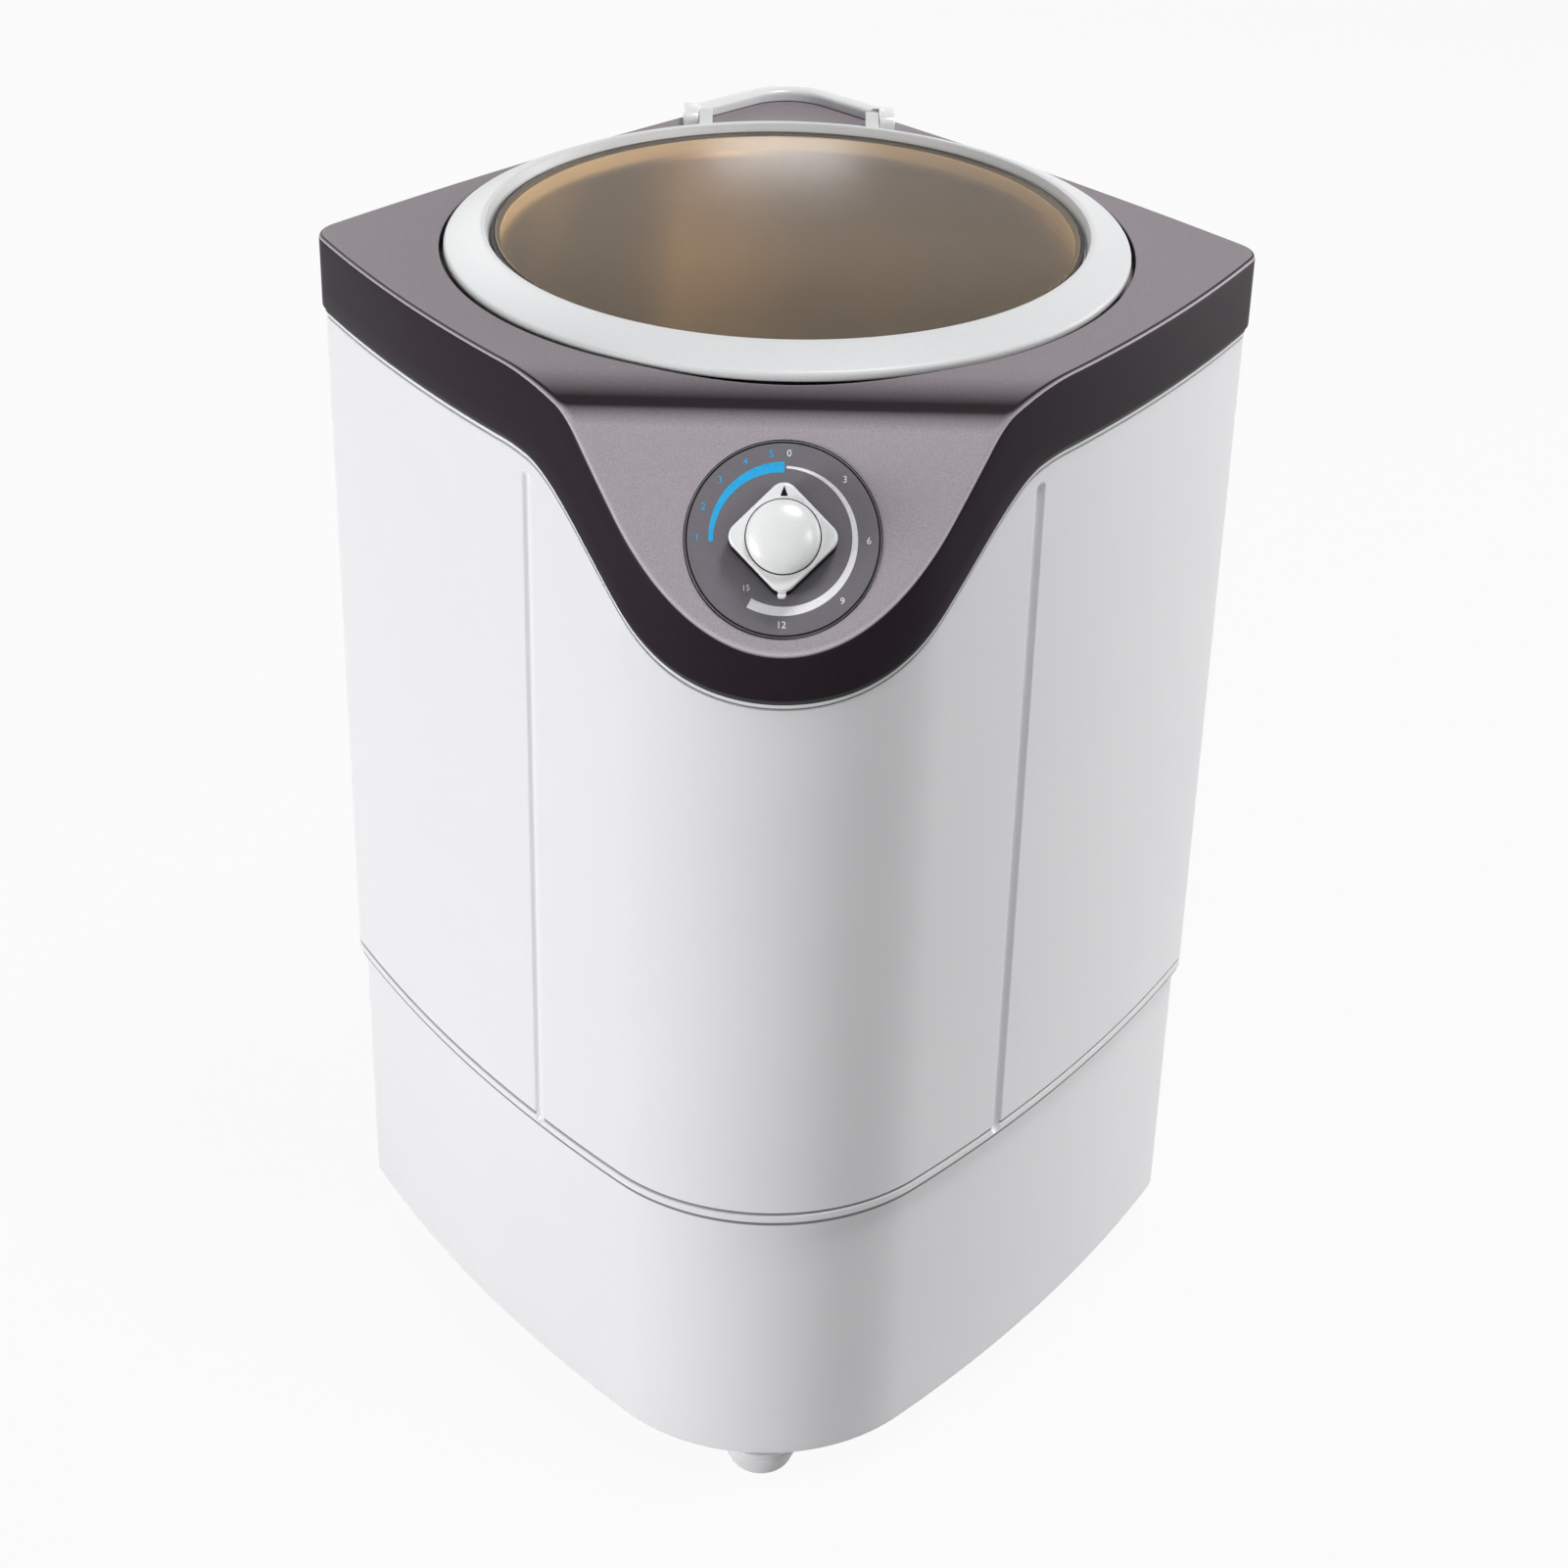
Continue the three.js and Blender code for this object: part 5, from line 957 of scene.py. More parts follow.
def body_row(z, depth=0.0, round_in=0.0):
    """A loop of the body's outer face: in by a line's depth or a groove's, and by a corner's."""
    height = np.broadcast_to(np.asarray(z, float), len(PLAN))
    return plan_row(BODY_INSET + round_in + np.maximum(depth, groove_dent(height)), height)


def body_shell():
    """Body: the white shell between the cover's band and the base, with its fine lines."""
    corner = [(rise * BODY_ROUND, inset * BODY_ROUND) for rise, inset in QUARTER_ROUND]
    line_low = SEAM_Z + SEAM_LINE_RISE
    line_high = line_low + SEAM_LINE_WIDTH
    rows = [body_row(SEAM_Z + rise, round_in=inset) for rise, inset in corner]
    rows += [body_row(line_low - LINE_APRON), body_row(line_low - LINE_FLANK)]
    rows += [body_row(z, SEAM_LINE_DEPTH) for z in (line_low + LINE_FLANK, line_high - LINE_FLANK)]
    rows += [body_row(line_high + LINE_FLANK), body_row(line_high + LINE_APRON)]
    tall_low = line_high + 6
    tall_high = BAND_FOOT - GROOVE_TOP_BELOW - GROOVE_WIDTH
    rows += [body_row(tall_low + (tall_high - tall_low) * k) for k in np.linspace(0, 1, 6)]
    end_steps = np.linspace(GROOVE_TOP_BELOW + GROOVE_WIDTH - 1, GROOVE_TOP_BELOW - 1, 16)
    rows += [body_row(BAND_FOOT - drop) for drop in end_steps]
    half = BAND_LINE_WIDTH / 2
    top = BAND_FOOT - BAND_GAP
    middle = top - BAND_LINE_DROP
    rows += [body_row(middle - 2 * half - 0.8), body_row(middle - half - 0.1)]
    rows += [body_row(middle + away * half, BAND_LINE_DEPTH) for away in (-0.4, 0.4)]
    rows.append(body_row(middle + half + 0.1))
    rows += [body_row(top - rise, round_in=inset) for rise, inset in reversed(corner)]
    ledge_z = DECK_TOP + GAP
    rows += plan_rows(
        (LIP_INSET, top), (LIP_INSET, BAND_FOOT + BAND_LIP), (BODY_INNER, BAND_FOOT + BAND_LIP),
        (BODY_INNER, ledge_z + WALL), (BODY_INNER + LEDGE, ledge_z + WALL),
        (BODY_INNER + LEDGE, ledge_z), (BODY_INNER, ledge_z), (BODY_INNER, SEAM_Z),
    )
    shell = Shell()
    shell.sweep(rows)
    shell.make("body_panel", "white_plastic", "body_shell")


def shade_strip(name, finish, bottom, top, face, back):
    """Dark strip round the outline between two heights, from one inset to a deeper one: painted
    shade laid in the body's lines and gaps. It sinks under the bed of each upright groove that it
    crosses."""
    bottom = np.broadcast_to(np.asarray(bottom, float), len(PLAN))
    dent = groove_dent(bottom)
    front = face + np.where(dent > 0, dent + GAP, 0)
    behind = np.maximum(back, front + GAP)
    shell = Shell()
    shell.sweep(plan_rows(
        (front, bottom + SHADE_STRIP_ROUND), (front, top - SHADE_STRIP_ROUND), (front + SHADE_STRIP_ROUND, top),
        (behind, top), (behind, bottom), (front + SHADE_STRIP_ROUND, bottom),
    ))
    shell.make(name, finish)


def shade_strips():
    """Painted shade: a black strip for the shadow under the cover's band, and grey strips for the
    shade in the body's two lines and the seam.
    """
    band_line = BAND_FOOT - BAND_GAP - BAND_LINE_DROP
    half = BAND_LINE_WIDTH / 2 - 0.1
    seam_line = SEAM_Z + SEAM_LINE_RISE
    for line in (
        # Black strip that paints the shadow under the cover's band.
        ("cover_shadow_strip", "black_rubber", BAND_FOOT - BAND_SHADOW_DROP, BAND_FOOT - GAP,
         BODY_INSET - 0.4, BODY_INSET + 1),
        # Grey strips that paint the shade in the two lines and the seam below.
        ("cover_line_shade", "seam_rubber", band_line - half, band_line + half,
         BODY_INSET + 0.3, BODY_INSET + 1.2),
        ("body_line", "seam_rubber", seam_line + 0.2, seam_line + SEAM_LINE_WIDTH - 0.2,
         BODY_INSET + 0.4, BODY_INSET + 1.4),
        ("seam_shadow_strip", "seam_rubber", SEAM_Z - SEAM_SHADOW_DROP, SEAM_Z - 0.1,
         BODY_INSET + 0.9, BASE_INSET + 0.5),
    ):
        shade_strip(*line)


def base_shell():
    """Base: the white lower shell with a floor round the hatch."""
    start = np.array([BASE_INSET, FLOOR_Z + BASE_ROUND])
    corner = np.array([BASE_INSET, FLOOR_Z])
    end = np.array([BASE_INSET + BASE_ROUND, FLOOR_Z])
    rows = plan_rows(
        (BASE_INNER, FLOOR_Z + WALL), (BASE_INNER, BASE_TOP), (BASE_INSET + GAP, BASE_TOP),
        (BASE_INSET, BASE_TOP - GAP), (BASE_INSET, FLOOR_Z + 0.6 * (SEAM_Z - FLOOR_Z)),
        (BASE_INSET, FLOOR_Z + 2 * BASE_ROUND), *bend(start, corner, end, 6),
        (BASE_INSET + BASE_ROUND + SUPPORT, FLOOR_Z),
    )
    shell = Shell()
    outer = shell.strip(rows)
    hatch = circle(HATCH_RADIUS, 160, (0, LID_Y))
    hole = shell.strip([(x, y, z) for x, y in hatch] for z in (FLOOR_Z + WALL, FLOOR_Z))
    shell.fill([outer[0], hole[0]])
    shell.fill([outer[-1], hole[-1]])
    shell.make("base_tub", "white_plastic", "base_shell")


def bottom_plate():
    """Hatch plate under the base, with cooling slots."""
    outline = circle(PLATE_RADIUS, 128, (0, LID_Y))
    half = (VENT_LENGTH - VENT_WIDTH) / 2
    slots = []
    for k in range(VENT_COUNT):
        middle = LID_Y + (k - (VENT_COUNT - 1) / 2) * VENT_PITCH
        right = [(half + x, middle + y) for x, y in circle(VENT_WIDTH / 2, 16) if x >= -TINY]
        right.sort(key=lambda point: point[1])
        slots.append(right + [(-x, y) for x, y in reversed(right)])
    plate = Shell().draw_up(outline, PLATE_LOW, PLATE_HIGH, Matrix(), 0.5, 2, slots)
    plate.make("hatch_plate", "grey_plastic", "bottom_plate")


def feet():
    """Rubber feet: a flared pad with a ribbed collar."""
    profile = rounded([
        (0, 0, 0), (9, 0, 1), (12, 0.6, 1), (14.5, 3, 1), (17.2, 9.5, 1.5),
        (FOOT_RADIUS, 12.7, 1), (FOOT_RADIUS, 14.4, 0.4), (FOOT_NECK, 14.9, 0.3),
        (FOOT_NECK, 15.5, 0.3), (FOOT_RADIUS, 16, 0.4), (FOOT_RADIUS, FLOOR_Z - GAP, 0.6),
        (0, FLOOR_Z - GAP, 0),
    ], 3)
    for name in ("front", "rear", "left", "right"):
        node = f"foot_{name}"
        middle = (low(node) + high(node)) / 2
        foot = Shell().turn(profile, Matrix.Translation((middle.x, middle.y, 0)), 64)
        foot.make(f"pad_{name}", "grey_rubber", node)


# ---- lid and hinge


def lid_ring():
    """Lid frame: the silver sloping ring, with the two hinge knuckles on its rear."""
    foot = FRAME_INNER + FRAME_FOOT_WIDTH
    shell = Shell().turn(rounded([
        (FRAME_INNER, LID_Z, 0.5), (foot, LID_Z, 0.5), (foot, RIM_LOW, 0.5),
        (FRAME_RADIUS, RIM_LOW, 1.2), (FRAME_RADIUS, RIM_HIGH, 1.8),
        (CREST_RADIUS + 1.2, CREST_Z, 1.5), (CREST_RADIUS - 0.8, CREST_Z, 0.8),
        (POCKET_RADIUS, POCKET_Z, 0.2), (FRAME_INNER, POCKET_Z, 0.3),
    ], 5))
    reach = LID_Y + math.sqrt(FRAME_RADIUS**2 - KNUCKLE_OUTER**2)
    arc = [
        (HINGE_Y + KNUCKLE_RADIUS * math.sin(a), HINGE_Z - KNUCKLE_RADIUS * math.cos(a))
        for a in np.linspace(0, math.pi, 17)
    ]
    outline = [
        (reach - 7, HINGE_Z - KNUCKLE_RADIUS), *arc, (reach + 2, HINGE_Z + 1.2),
        (reach - 7, HINGE_Z + 1),
    ]
    for side in (-1, 1):
        ends = sorted((side * KNUCKLE_INNER, side * KNUCKLE_OUTER))
        shell.draw_up(outline, *ends, ALONG_X, 0.5)
    shell.make("lid_ring", "silver_plastic", "lid_frame", "lid")


def lid_glazing():
    """The window and the gasket that holds it in the lid's pocket."""
    pane = Shell().turn(rounded([
        (0, WINDOW_Z, 0), (WINDOW_RADIUS, WINDOW_Z, 0.4), (WINDOW_RADIUS, WINDOW_TOP, 0.7),
        (0, WINDOW_TOP, 0),
    ], 4))
    pane.make("window_pane", "smoked_window", "lid_window", "lid")
    outer = POCKET_RADIUS - GAP
    inner = outer - GASKET_WIDTH
    base = POCKET_Z + GAP
    top = WINDOW_TOP - 0.8
    seal = Shell().turn(rounded([
        (FRAME_INNER + GAP, base, 0.2), (outer, base, 0.2), (outer, top, 0.5),
        (inner, top, 0.5), (inner, base + GASKET_FOOT, 0.1),
        (FRAME_INNER + GAP, base + GASKET_FOOT, 0.2),
    ], 3))
    seal.make("window_seal", "black_rubber", "window_gasket", "lid")


def rear_line(x, inset):
    """Point of the rear sides' straight line at an x near the hinge posts."""
    return (x, (REAR_REACH - inset) / HALF_ROOT - abs(x))


def rail_path(inset):
    """Points of the hinge rail's bar from the left post round the rear corner to the right."""
    points = [tuple(p) for p in plan_at(inset) if p[1] > 0 and abs(p[0]) < HINGE_SPREAD - 1]
    return [rear_line(-HINGE_SPREAD, inset), *sorted(points), rear_line(HINGE_SPREAD, inset)]


def hinge_rail():
    """Raised silver bar round the rear corner, between two posts that hold the lid's pins."""
    foot = TOP_Z + GAP
    inner = RAIL_INSET + RAIL_WIDTH
    section = rounded([
        (RAIL_INSET, foot, 0.6), (RAIL_INSET, RAIL_TOP, 2.6), (inner, RAIL_TOP - 0.6, 2.2),
        (inner, foot, 0.6),
    ], 5)
    shell = Shell()
    paths = [[(x, y, z) for x, y in rail_path(inset)] for inset, z in section]
    loops = shell.strip(zip(*paths))
    shell.fill([loops[0]], section)
    shell.fill([loops[-1]], section)
    rear = rear_line(HINGE_SPREAD, RAIL_INSET)[1] - POST_WIDTH / 2
    front = HINGE_Y - POST_DEPTH / 2
    outline = rounded([
        (front, foot, 0), (rear, foot, 0), (rear, POST_TOP - 1, 3.5), (HINGE_Y, POST_TOP, 3.5),
        (front, POST_TOP - 1.4, 3),
    ], 5)
    for side in (-1, 1):
        middle = side * HINGE_SPREAD
        shell.draw_up(outline, middle - POST_WIDTH / 2, middle + POST_WIDTH / 2, ALONG_X, 0.7)
    # The rail takes the knob's lighter copy of the ring's silver, as painted light on its front.
    shell.make("rear_rail", "knob_plastic", "hinge_rail")


def hinge_pins():
    """Steel pins through the lid's knuckles and the posts."""
    place = Matrix.Translation((0, HINGE_Y, HINGE_Z)) @ ALONG_X
    outer_end = high("hinge_pin_right").x
    for side, name in ((-1, "left"), (1, "right")):
        start, end = sorted((side * KNUCKLE_INNER, side * outer_end))
        profile = [(0, start, 0), (PIN_RADIUS, start, 0.4), (PIN_RADIUS, end, 0.4), (0, end, 0)]
        pin = Shell().turn(rounded(profile, 3), place, 32)
        pin.make(f"pin_{name}", "shaft_steel", f"hinge_pin_{name}")


# ---- tub, pulsator


def wash_tub():
    """Steel tub: a turned wall with a round bottom corner and a rolled rim."""
    inner = TUB_OUTER - TUB_WALL
    rim_z = TUB_TOP - TUB_RIM_HEIGHT
    neck = high("shaft_seal").x + 1
    drum = Shell().turn(rounded([
        (neck, TUB_BOTTOM, 0), (TUB_OUTER, TUB_BOTTOM, TUB_CORNER), (TUB_OUTER, rim_z, 0),
        (TUB_RIM_RADIUS, rim_z, 0.3), (TUB_RIM_RADIUS, TUB_TOP, 1.2), (inner, TUB_TOP, 1.4),
        (inner, TUB_BOTTOM + TUB_WALL, TUB_CORNER - TUB_WALL), (neck, TUB_BOTTOM + TUB_WALL, 0),
    ], 8))
    drum.make("tub_drum", "tub_steel", "wash_tub")


def pulsator():
    """Pulsator: a domed disc with four rounded fins and a hub."""
    foot = PULSATOR_Z
    rim = foot + 6
    shell = Shell().turn(rounded([
        (PULSATOR_BORE, foot, 0), (88, foot, 0.5), (PULSATOR_RADIUS, rim, 1.5),
        (PULSATOR_RADIUS, rim + 3, 1.4), (85, foot + 12, 6), (30, foot + 19, 8),
        (20, foot + 25, 2), (PULSATOR_BORE, foot + 25, 0),
    ], 5), segments=128)
    fin = rounded([
        (FIN_INNER, foot + FIN_FOOT, 0), (FIN_OUTER, foot + FIN_FOOT, 0),
        (FIN_OUTER, foot + 17, 4), (FIN_OUTER - 20, PULSATOR_TOP, 16),
        (FIN_INNER, PULSATOR_TOP, 5),
    ], 6)
    upright = Matrix.Rotation(math.pi / 2, 4, "X")
    for k in range(FIN_COUNT):
        turn = Matrix.Rotation(k * 2 * math.pi / FIN_COUNT, 4, "Z")
        place = ROUND_LID @ turn @ upright
        shell.draw_up(fin, -FIN_WIDTH / 2, FIN_WIDTH / 2, place, 2.6, 4)
    shell.make("pulsator_disc", "white_plastic", "pulsator", "agitator")


# ---- dial and knob


def dial_plate():
    """The dial's plate in its pocket, with a thin dark line near its rim."""
    line = DIAL_LINE_RADIUS
    plate = Shell().turn(rounded([
        (DIAL_BORE, DIAL_PLATE_LOW, 0), (DIAL_RADIUS, DIAL_PLATE_LOW, 0.2),
        (DIAL_RADIUS, DIAL_TOP - 0.15, 0.3), (line, DIAL_TOP, 0.2), (DIAL_BORE, DIAL_TOP, 0.2),
    ], 3), ON_DIAL, 128)
    plate.make("dial_face", "dial_ink", "dial_plate")
    foot, top = DIAL_TOP - 0.4, DIAL_TOP + INK_HEIGHT
    rim = Shell().turn(rounded([
        (line + 0.2, foot, 0), (line + 0.9, foot, 0), (line + 0.9, top - 0.1, 0.02),
        (line + 0.2, top, 0.02),
    ], 1), ON_DIAL, 128)
    rim.make("dial_rim", "black_ink")


def on_clock(hours, radius):
    """A place on the dial as on a clock: 12 is up the face and hours run clockwise."""
    angle = math.radians(90 - 30 * hours)
    return (radius * math.cos(angle), radius * math.sin(angle))


def dial_arc(ink, start, end, first_width, last_width, steps):
    """A thin raised arc between two clock places, its width growing along it."""
    inner, outer = [], []
    for t in np.linspace(0, 1, steps + 1):
        hours = start + (end - start) * t
        half = (first_width + (last_width - first_width) * t) / 2
        inner.append(on_clock(hours, ARC_RADIUS - half))
        outer.append(on_clock(hours, ARC_RADIUS + half))
    arc = Shell().draw_up(
        outer + inner[::-1], DIAL_TOP - INK_HEIGHT, DIAL_TOP + INK_HEIGHT, ON_DIAL, 0.02, 1
    )
    arc.make(f"dial_arc_{ink}", f"{ink}_ink")


def dial_number(text, hours, radius, size, ink):
    """A plain number standing upright on the dial."""
    curve = bpy.data.curves.new(f"number_{text}", "FONT")
    curve.body = text
    curve.size = size * MM
    curve.extrude = INK_HEIGHT * MM
    curve.align_x = "CENTER"
    curve.align_y = "CENTER"
    curve.resolution_u = 4
    drawing = bpy.data.objects.new("number_curve", curve)
    bpy.context.scene.collection.objects.link(drawing)
    bpy.context.view_layer.update()
    mesh = bpy.data.meshes.new_from_object(drawing)
    bpy.data.objects.remove(drawing)
    place = ON_DIAL @ Matrix.Translation((*on_clock(hours, radius), DIAL_TOP))
    place.translation *= MM
    mesh.transform(place)
    mesh.name = f"dial_number_{text}_{ink}_ink"
    show(mesh.name, mesh, f"{ink}_ink")


def dial_print():
    """Arcs and plain numbers printed on the dial."""
    dial_arc("blue", 8.9, 12, 1.8, 4.4, 48)
    dial_arc("white", 12.05, 18.9, 1.0, 4.2, 80)
    for text, hours in (("1", 9.0), ("2", 9.7), ("3", 10.4), ("4", 11.1), ("5", 11.7)):
        dial_number(text, hours, NUMBER_RADIUS, 4.2, "blue")
    for text, hours in (("0", 12.1), ("3", 13.5), ("6", 15), ("9", 16.5), ("12", 18)):
        dial_number(text, hours, NUMBER_RADIUS, 4.0, "white")
    dial_number("15", 19.2, LAST_NUMBER_RADIUS, 3.4, "white")


def knob():
    """Knob: a rounded diamond skirt, a domed cap, a pointer and a small nub opposite it."""
    centre = KNOB_REACH - KNOB_TIP
    outline = []
    for middle in (0, math.pi / 2, math.pi, 3 * math.pi / 2):
        for angle in np.linspace(middle - math.pi / 4, middle + math.pi / 4, 13):
            x = centre * math.cos(middle) + KNOB_TIP * math.cos(angle)
            outline.append((x, centre * math.sin(middle) + KNOB_TIP * math.sin(angle)))
    skirt = Shell().draw_up(outline, KNOB_Z + KNOB_FOOT, KNOB_TOP, ON_DIAL, 1.3, 5)
    skirt.make("knob_diamond", "knob_plastic", "knob_skirt", "knob")
    # Painted shadow: a black copy of the diamond under it, shifted toward the nub, shows as a dark
    # edge along the lower sides.
    lower = [(x, y - KNOB_SHADOW_SHIFT) for x, y in outline]
    foot = Shell().draw_up(lower, KNOB_Z, KNOB_Z + KNOB_FOOT + GAP, ON_DIAL, 0.3, 2)
    foot.make("knob_painted_shadow", "black_ink", None, "knob")

    base = KNOB_TOP + GAP
    edge = base + 1
    dome = [
        (KNOB_CAP_RADIUS * math.cos(a), edge + KNOB_CAP_RISE * math.sin(a))
        for a in np.linspace(0, math.pi / 2, 17)[:-1]
    ]
    profile = [(0, base), (KNOB_CAP_RADIUS, base), *dome, (0, edge + KNOB_CAP_RISE)]
    cap = Shell().turn(profile, ON_DIAL, 96)
    cap.make("knob_dome", "knob_plastic", "knob_cap", "knob")

    low_z, high_z = KNOB_TOP - 0.2, KNOB_TOP + 0.1
    inner, outer = KNOB_CAP_RADIUS - 0.3, KNOB_CAP_RADIUS + 0.5
    profile = [(inner, low_z), (outer, low_z), (outer, high_z), (inner, high_z)]
    line = Shell().turn(profile, ON_DIAL, 96)
    line.make("knob_cap_line", "black_ink", None, "knob")
    arrow = rounded([
        (0, POINTER_TIP, 0.3), (-POINTER_HALF, POINTER_FOOT, 0.3),
        (POINTER_HALF, POINTER_FOOT, 0.3),
    ], 2)
    pointer = Shell().draw_up(arrow, low_z, KNOB_TOP + 0.12, ON_DIAL, 0.04, 1)
    pointer.make("knob_pointer", "black_ink", None, "knob")
    root = NUB_LENGTH - NUB_REACH
    stub = rounded([
        (-NUB_HALF, -NUB_REACH, 1), (NUB_HALF, -NUB_REACH, 1), (NUB_HALF, root, 0.6),
        (-NUB_HALF, root, 0.6),
    ], 3)
    nub = Shell().draw_up(stub, KNOB_Z + 1, KNOB_TOP - 1.5, ON_DIAL, 0.4)
    nub.make("knob_nub", "knob_plastic", None, "knob")


# ---- fasteners and rear


def cut_out(piece, cutter):
    """Cuts a shell's shape out of a piece."""
    tool = bpy.data.objects.new("cutter", cutter.mesh("cutter"))
    bpy.context.scene.collection.objects.link(tool)
    modifier = piece.modifiers.new("cut", "BOOLEAN")
    modifier.operation = "DIFFERENCE"
    modifier.solver = "EXACT"
    modifier.object = tool
    bpy.context.view_layer.update()
    view = bpy.context.evaluated_depsgraph_get()
    mesh = bpy.data.meshes.new_from_object(piece.evaluated_get(view))
    piece.modifiers.clear()
    smooth(mesh)
    piece.data = mesh
    bpy.data.objects.remove(tool)


def screw(name, node, place, body="cabinet", head=SCREW_HEAD, shank=SCREW_RADIUS,
          length=SCREW_LENGTH):
    """A pan-head screw along local Z, its head out, with a cross recess."""
    height = SCREW_HEAD_HEIGHT
    profile = rounded([
        (0, -length, 0), (shank * 0.6, -length, 0.3), (shank, -length + 2, 0.3), (shank, 0, 0),
        (head, 0, 0.2), (head, 0.45 * height, 0.4), (0.72 * head, 0.94 * height, 0.9),
        (0, height, 0),
    ], 3)
    piece = Shell().turn(profile, place, 40).make(name, "screw_steel", node, body)
    arm, half = 0.58 * head, 0.15 * head
    cross = [(arm, -half), (arm, half), (half, half), (half, arm), (-half, arm), (-half, half)]
    cross += [(-x, -y) for x, y in cross]
    narrow = [(x * 0.55, y * 0.55) for x, y in cross]
    rows = [placed(narrow, 0.35 * height, place), placed(cross, height + 1, place)]
    cutter = Shell()
    cutter.faces += [tuple(loop) for loop in cutter.strip(rows)]
    cut_out(piece, cutter)


def screws():
    """Screws of the rear sides, the hatch plate and the pulsator."""
    for side, name in ((-1, "left"), (1, "right")):
        for part in ("cover", "body"):
            node = f"{part}_screw_{name}"
            z = (low(node).z + high(node).z) / 2
            reach = outward_reach(node, side) - SCREW_HEAD_HEIGHT
            screw(f"{part}_rear_screw_{name}", node, out_of_rear(side, reach, z))
    for k in range(1, 5):
        node = f"hatch_screw_{k}"
        middle = (low(node) + high(node)) / 2
        seat = low(node).z + SCREW_HEAD_HEIGHT
        place = Matrix.Translation((middle.x, middle.y, seat)) @ Matrix.Rotation(math.pi, 4, "X")
        screw(f"plate_screw_{k}", node, place, length=high(node).z - seat)
    node = "pulsator_screw"
    seat = high(node).z - SCREW_HEAD_HEIGHT
    place = Matrix.Translation((0, LID_Y, seat))
    screw("pulsator_bolt", node, place, "agitator", high(node).x, 3, seat - low(node).z)


def drain_and_gland():
    """Drain spigot in the rear left side and the cord's gland in the rear right one."""
    wall = REAR_REACH - BASE_INSET + GAP
    inside = REAR_REACH - BASE_INNER - 20
    tip = outward_reach("drain_spigot", -1)
    drain = Shell().turn(rounded([
        (DRAIN_BORE, inside, 0), (DRAIN_OUTER, inside, 0), (DRAIN_OUTER, wall, 0),
        (16.2, wall, 0.2), (16.2, wall + 2, 0.8), (DRAIN_OUTER, wall + 2, 0.6),
        (DRAIN_OUTER, tip - 14, 0.2), (DRAIN_OUTER + 0.9, tip - 13, 0.3),
        (DRAIN_OUTER, tip - 11, 0.2), (DRAIN_OUTER, tip - 9, 0.2),
        (DRAIN_OUTER + 1.2, tip - 7, 0.4), (DRAIN_OUTER - 0.6, tip, 0.5),
        (DRAIN_BORE, tip, 0.4),
    ], 3), out_of_rear(-1, 0, DRAIN_Z), 64)
    drain.make("drain_stub", "grey_plastic", "drain_spigot")
    inside = REAR_REACH - BASE_INNER - 4
    tip = outward_reach("cord_gland", 1)
    gland = Shell().turn(rounded([
        (GLAND_BORE, inside, 0), (GLAND_RADIUS, inside, 0.3), (GLAND_RADIUS, wall, 0),
        (12, wall, 0.2), (12, wall + 2.2, 1), (9.5, wall + 3.2, 0.8),
        (GLAND_RADIUS, tip - 1.5, 0.8), (GLAND_RADIUS - 1.2, tip, 0.8), (GLAND_BORE, tip, 0.6),
    ], 3), out_of_rear(1, 0, GLAND_Z), 64)
    gland.make("cord_grommet", "dark_plastic", "cord_gland")


def kept_nodes():
    """Gives the CAD nodes that stay their finishes."""
    for node in frame["nodes"].values():
        slot = node.data.materials[0].name.split(".")[0]
        node.material_slots[0].material = FINISHES[slot]


# ---- studio


def soft_lamp(name, azimuth, elevation, power, size):
    """A soft rectangular lamp aimed at the middle of the object. Azimuth 0 is in front of the
    control corner and 90 is on the right; angles are in degrees."""
    azimuth, elevation = math.radians(azimuth), math.radians(elevation)
    away = Vector((
        math.cos(elevation) * math.sin(azimuth),
        -math.cos(elevation) * math.cos(azimuth),
        math.sin(elevation),
    ))
    lamp = bpy.data.lights.new(name, "AREA")
    lamp.shape = "RECTANGLE"
    lamp.size, lamp.size_y = size
    lamp.energy = power
    holder = bpy.data.objects.new(name, lamp)
    holder.location = Vector(LIT_MIDDLE) + away * LAMP_DISTANCE
    aim = Vector(LIT_MIDDLE) - holder.location
    holder.rotation_euler = aim.to_track_quat("-Z", "Y").to_euler()
    bpy.context.scene.collection.objects.link(holder)


def studio_lights():
    """A key lamp from the left, one from the right rear, a small one from the right front for
    the tub, one high on the right, one from behind on the left, and a small one behind for the
    window's gleam."""
    for lamp in LAMPS:
        soft_lamp(*lamp)


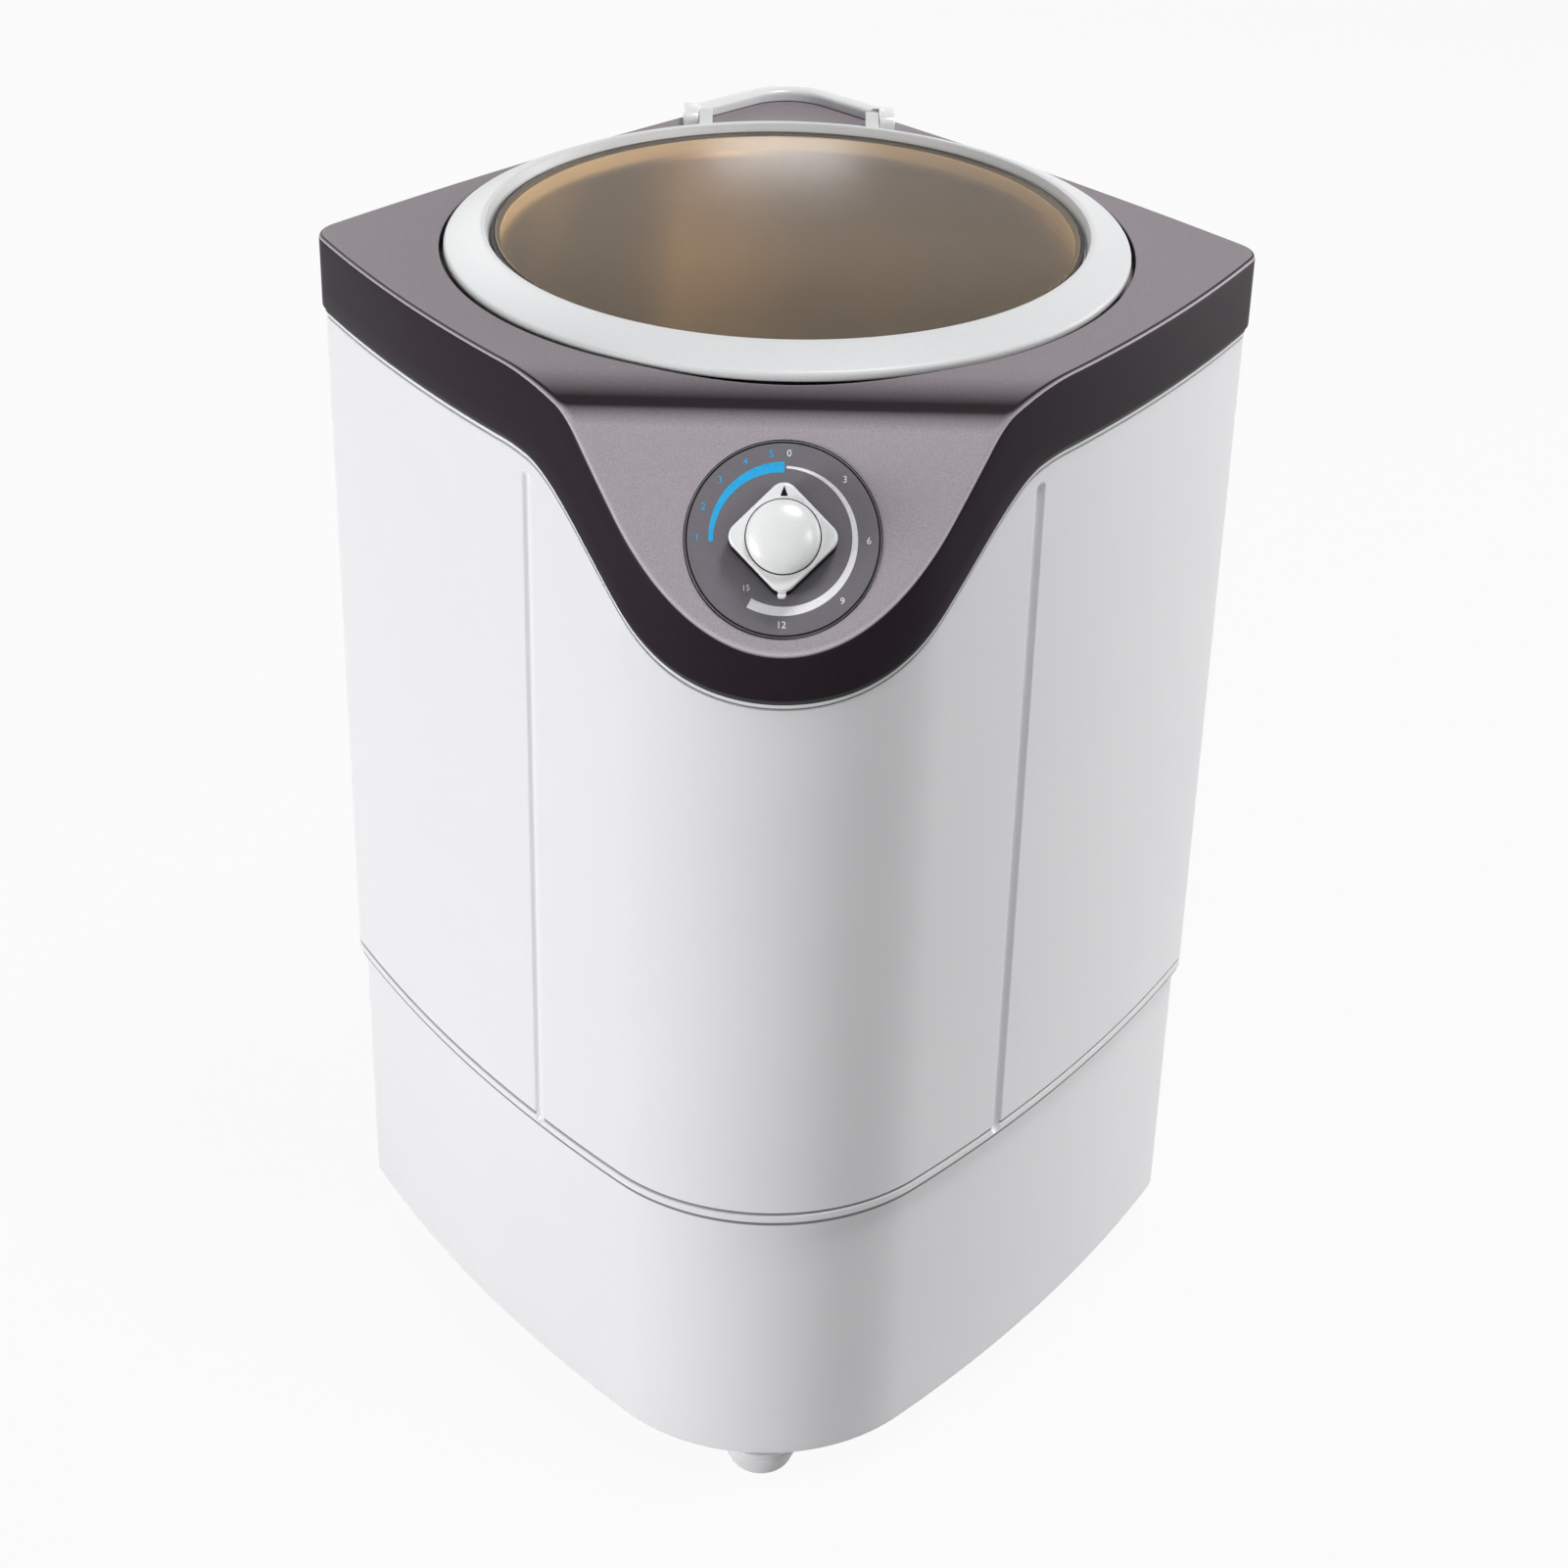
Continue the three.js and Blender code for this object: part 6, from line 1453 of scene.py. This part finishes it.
def studio_world():
    """White for what looks at it directly, or through gloss and glass; faint as a lamp."""
    world = bpy.data.worlds.new("studio")
    bpy.context.scene.world = world
    world.use_nodes = True
    tree = world.node_tree
    faint = tree.nodes["Background"]
    feed(tree, faint, {"Color": grey(1), "Strength": AMBIENT})
    white = add_node(tree, "Background", {"Color": grey(1), "Strength": 1})
    mix_surface(tree, "World Output", sees_background(tree), faint, white)


def studio_floor():
    """A wide pale floor that keeps the object's shadow."""
    finish = Finish("floor_paper", 0.9)
    finish.colour(finish.noise(40, 3), (0.2, grey(0.5)), (0.8, grey(0.52)))
    glow = finish.node("Emission", {"Color": grey(1)})
    factors = {0: sees_background(finish.tree), 1: FLOOR_GLOW}
    share = finish.node("Math", factors, operation="MULTIPLY").outputs["Value"]
    mix_surface(finish.tree, "Material Output", share, finish.shader, glow)
    signs = ((-1, -1), (1, -1), (1, 1), (-1, 1))
    corners = [(x * FLOOR_HALF, y * FLOOR_HALF, FLOOR_LEVEL) for x, y in signs]
    mesh = bpy.data.meshes.new("floor")
    mesh.from_pydata(corners, [], [(0, 1, 2, 3)])
    mesh.materials.append(finish.material)
    floor = bpy.data.objects.new("floor", mesh)
    bpy.context.scene.collection.objects.link(floor)


def studio_camera():
    """A long lens from in front and above, rolled a little."""
    data = bpy.data.cameras.new("camera")
    data.sensor_width = 36
    data.lens = 73.05
    camera = bpy.data.objects.new("camera", data)
    camera.location = (-0.0071, -1.3483, 1.0596)
    forward = Vector((0.0075, 0.86149, -0.50768))
    roll = Matrix.Rotation(0.026, 3, "Z")
    camera.rotation_euler = (forward.to_track_quat("-Z", "Y").to_matrix() @ roll).to_euler()
    bpy.context.scene.collection.objects.link(camera)
    bpy.context.scene.camera = camera


# ---- assembly

for build in (
    studio_camera, kept_nodes, top_cover, body_shell, shade_strips, base_shell, bottom_plate, feet,
    lid_ring, lid_glazing, hinge_rail, hinge_pins, wash_tub, pulsator, dial_plate, dial_print,
    knob, screws, drain_and_gland, studio_lights, studio_world, studio_floor,
):
    build()
bpy.context.scene.view_settings.view_transform = "Standard"
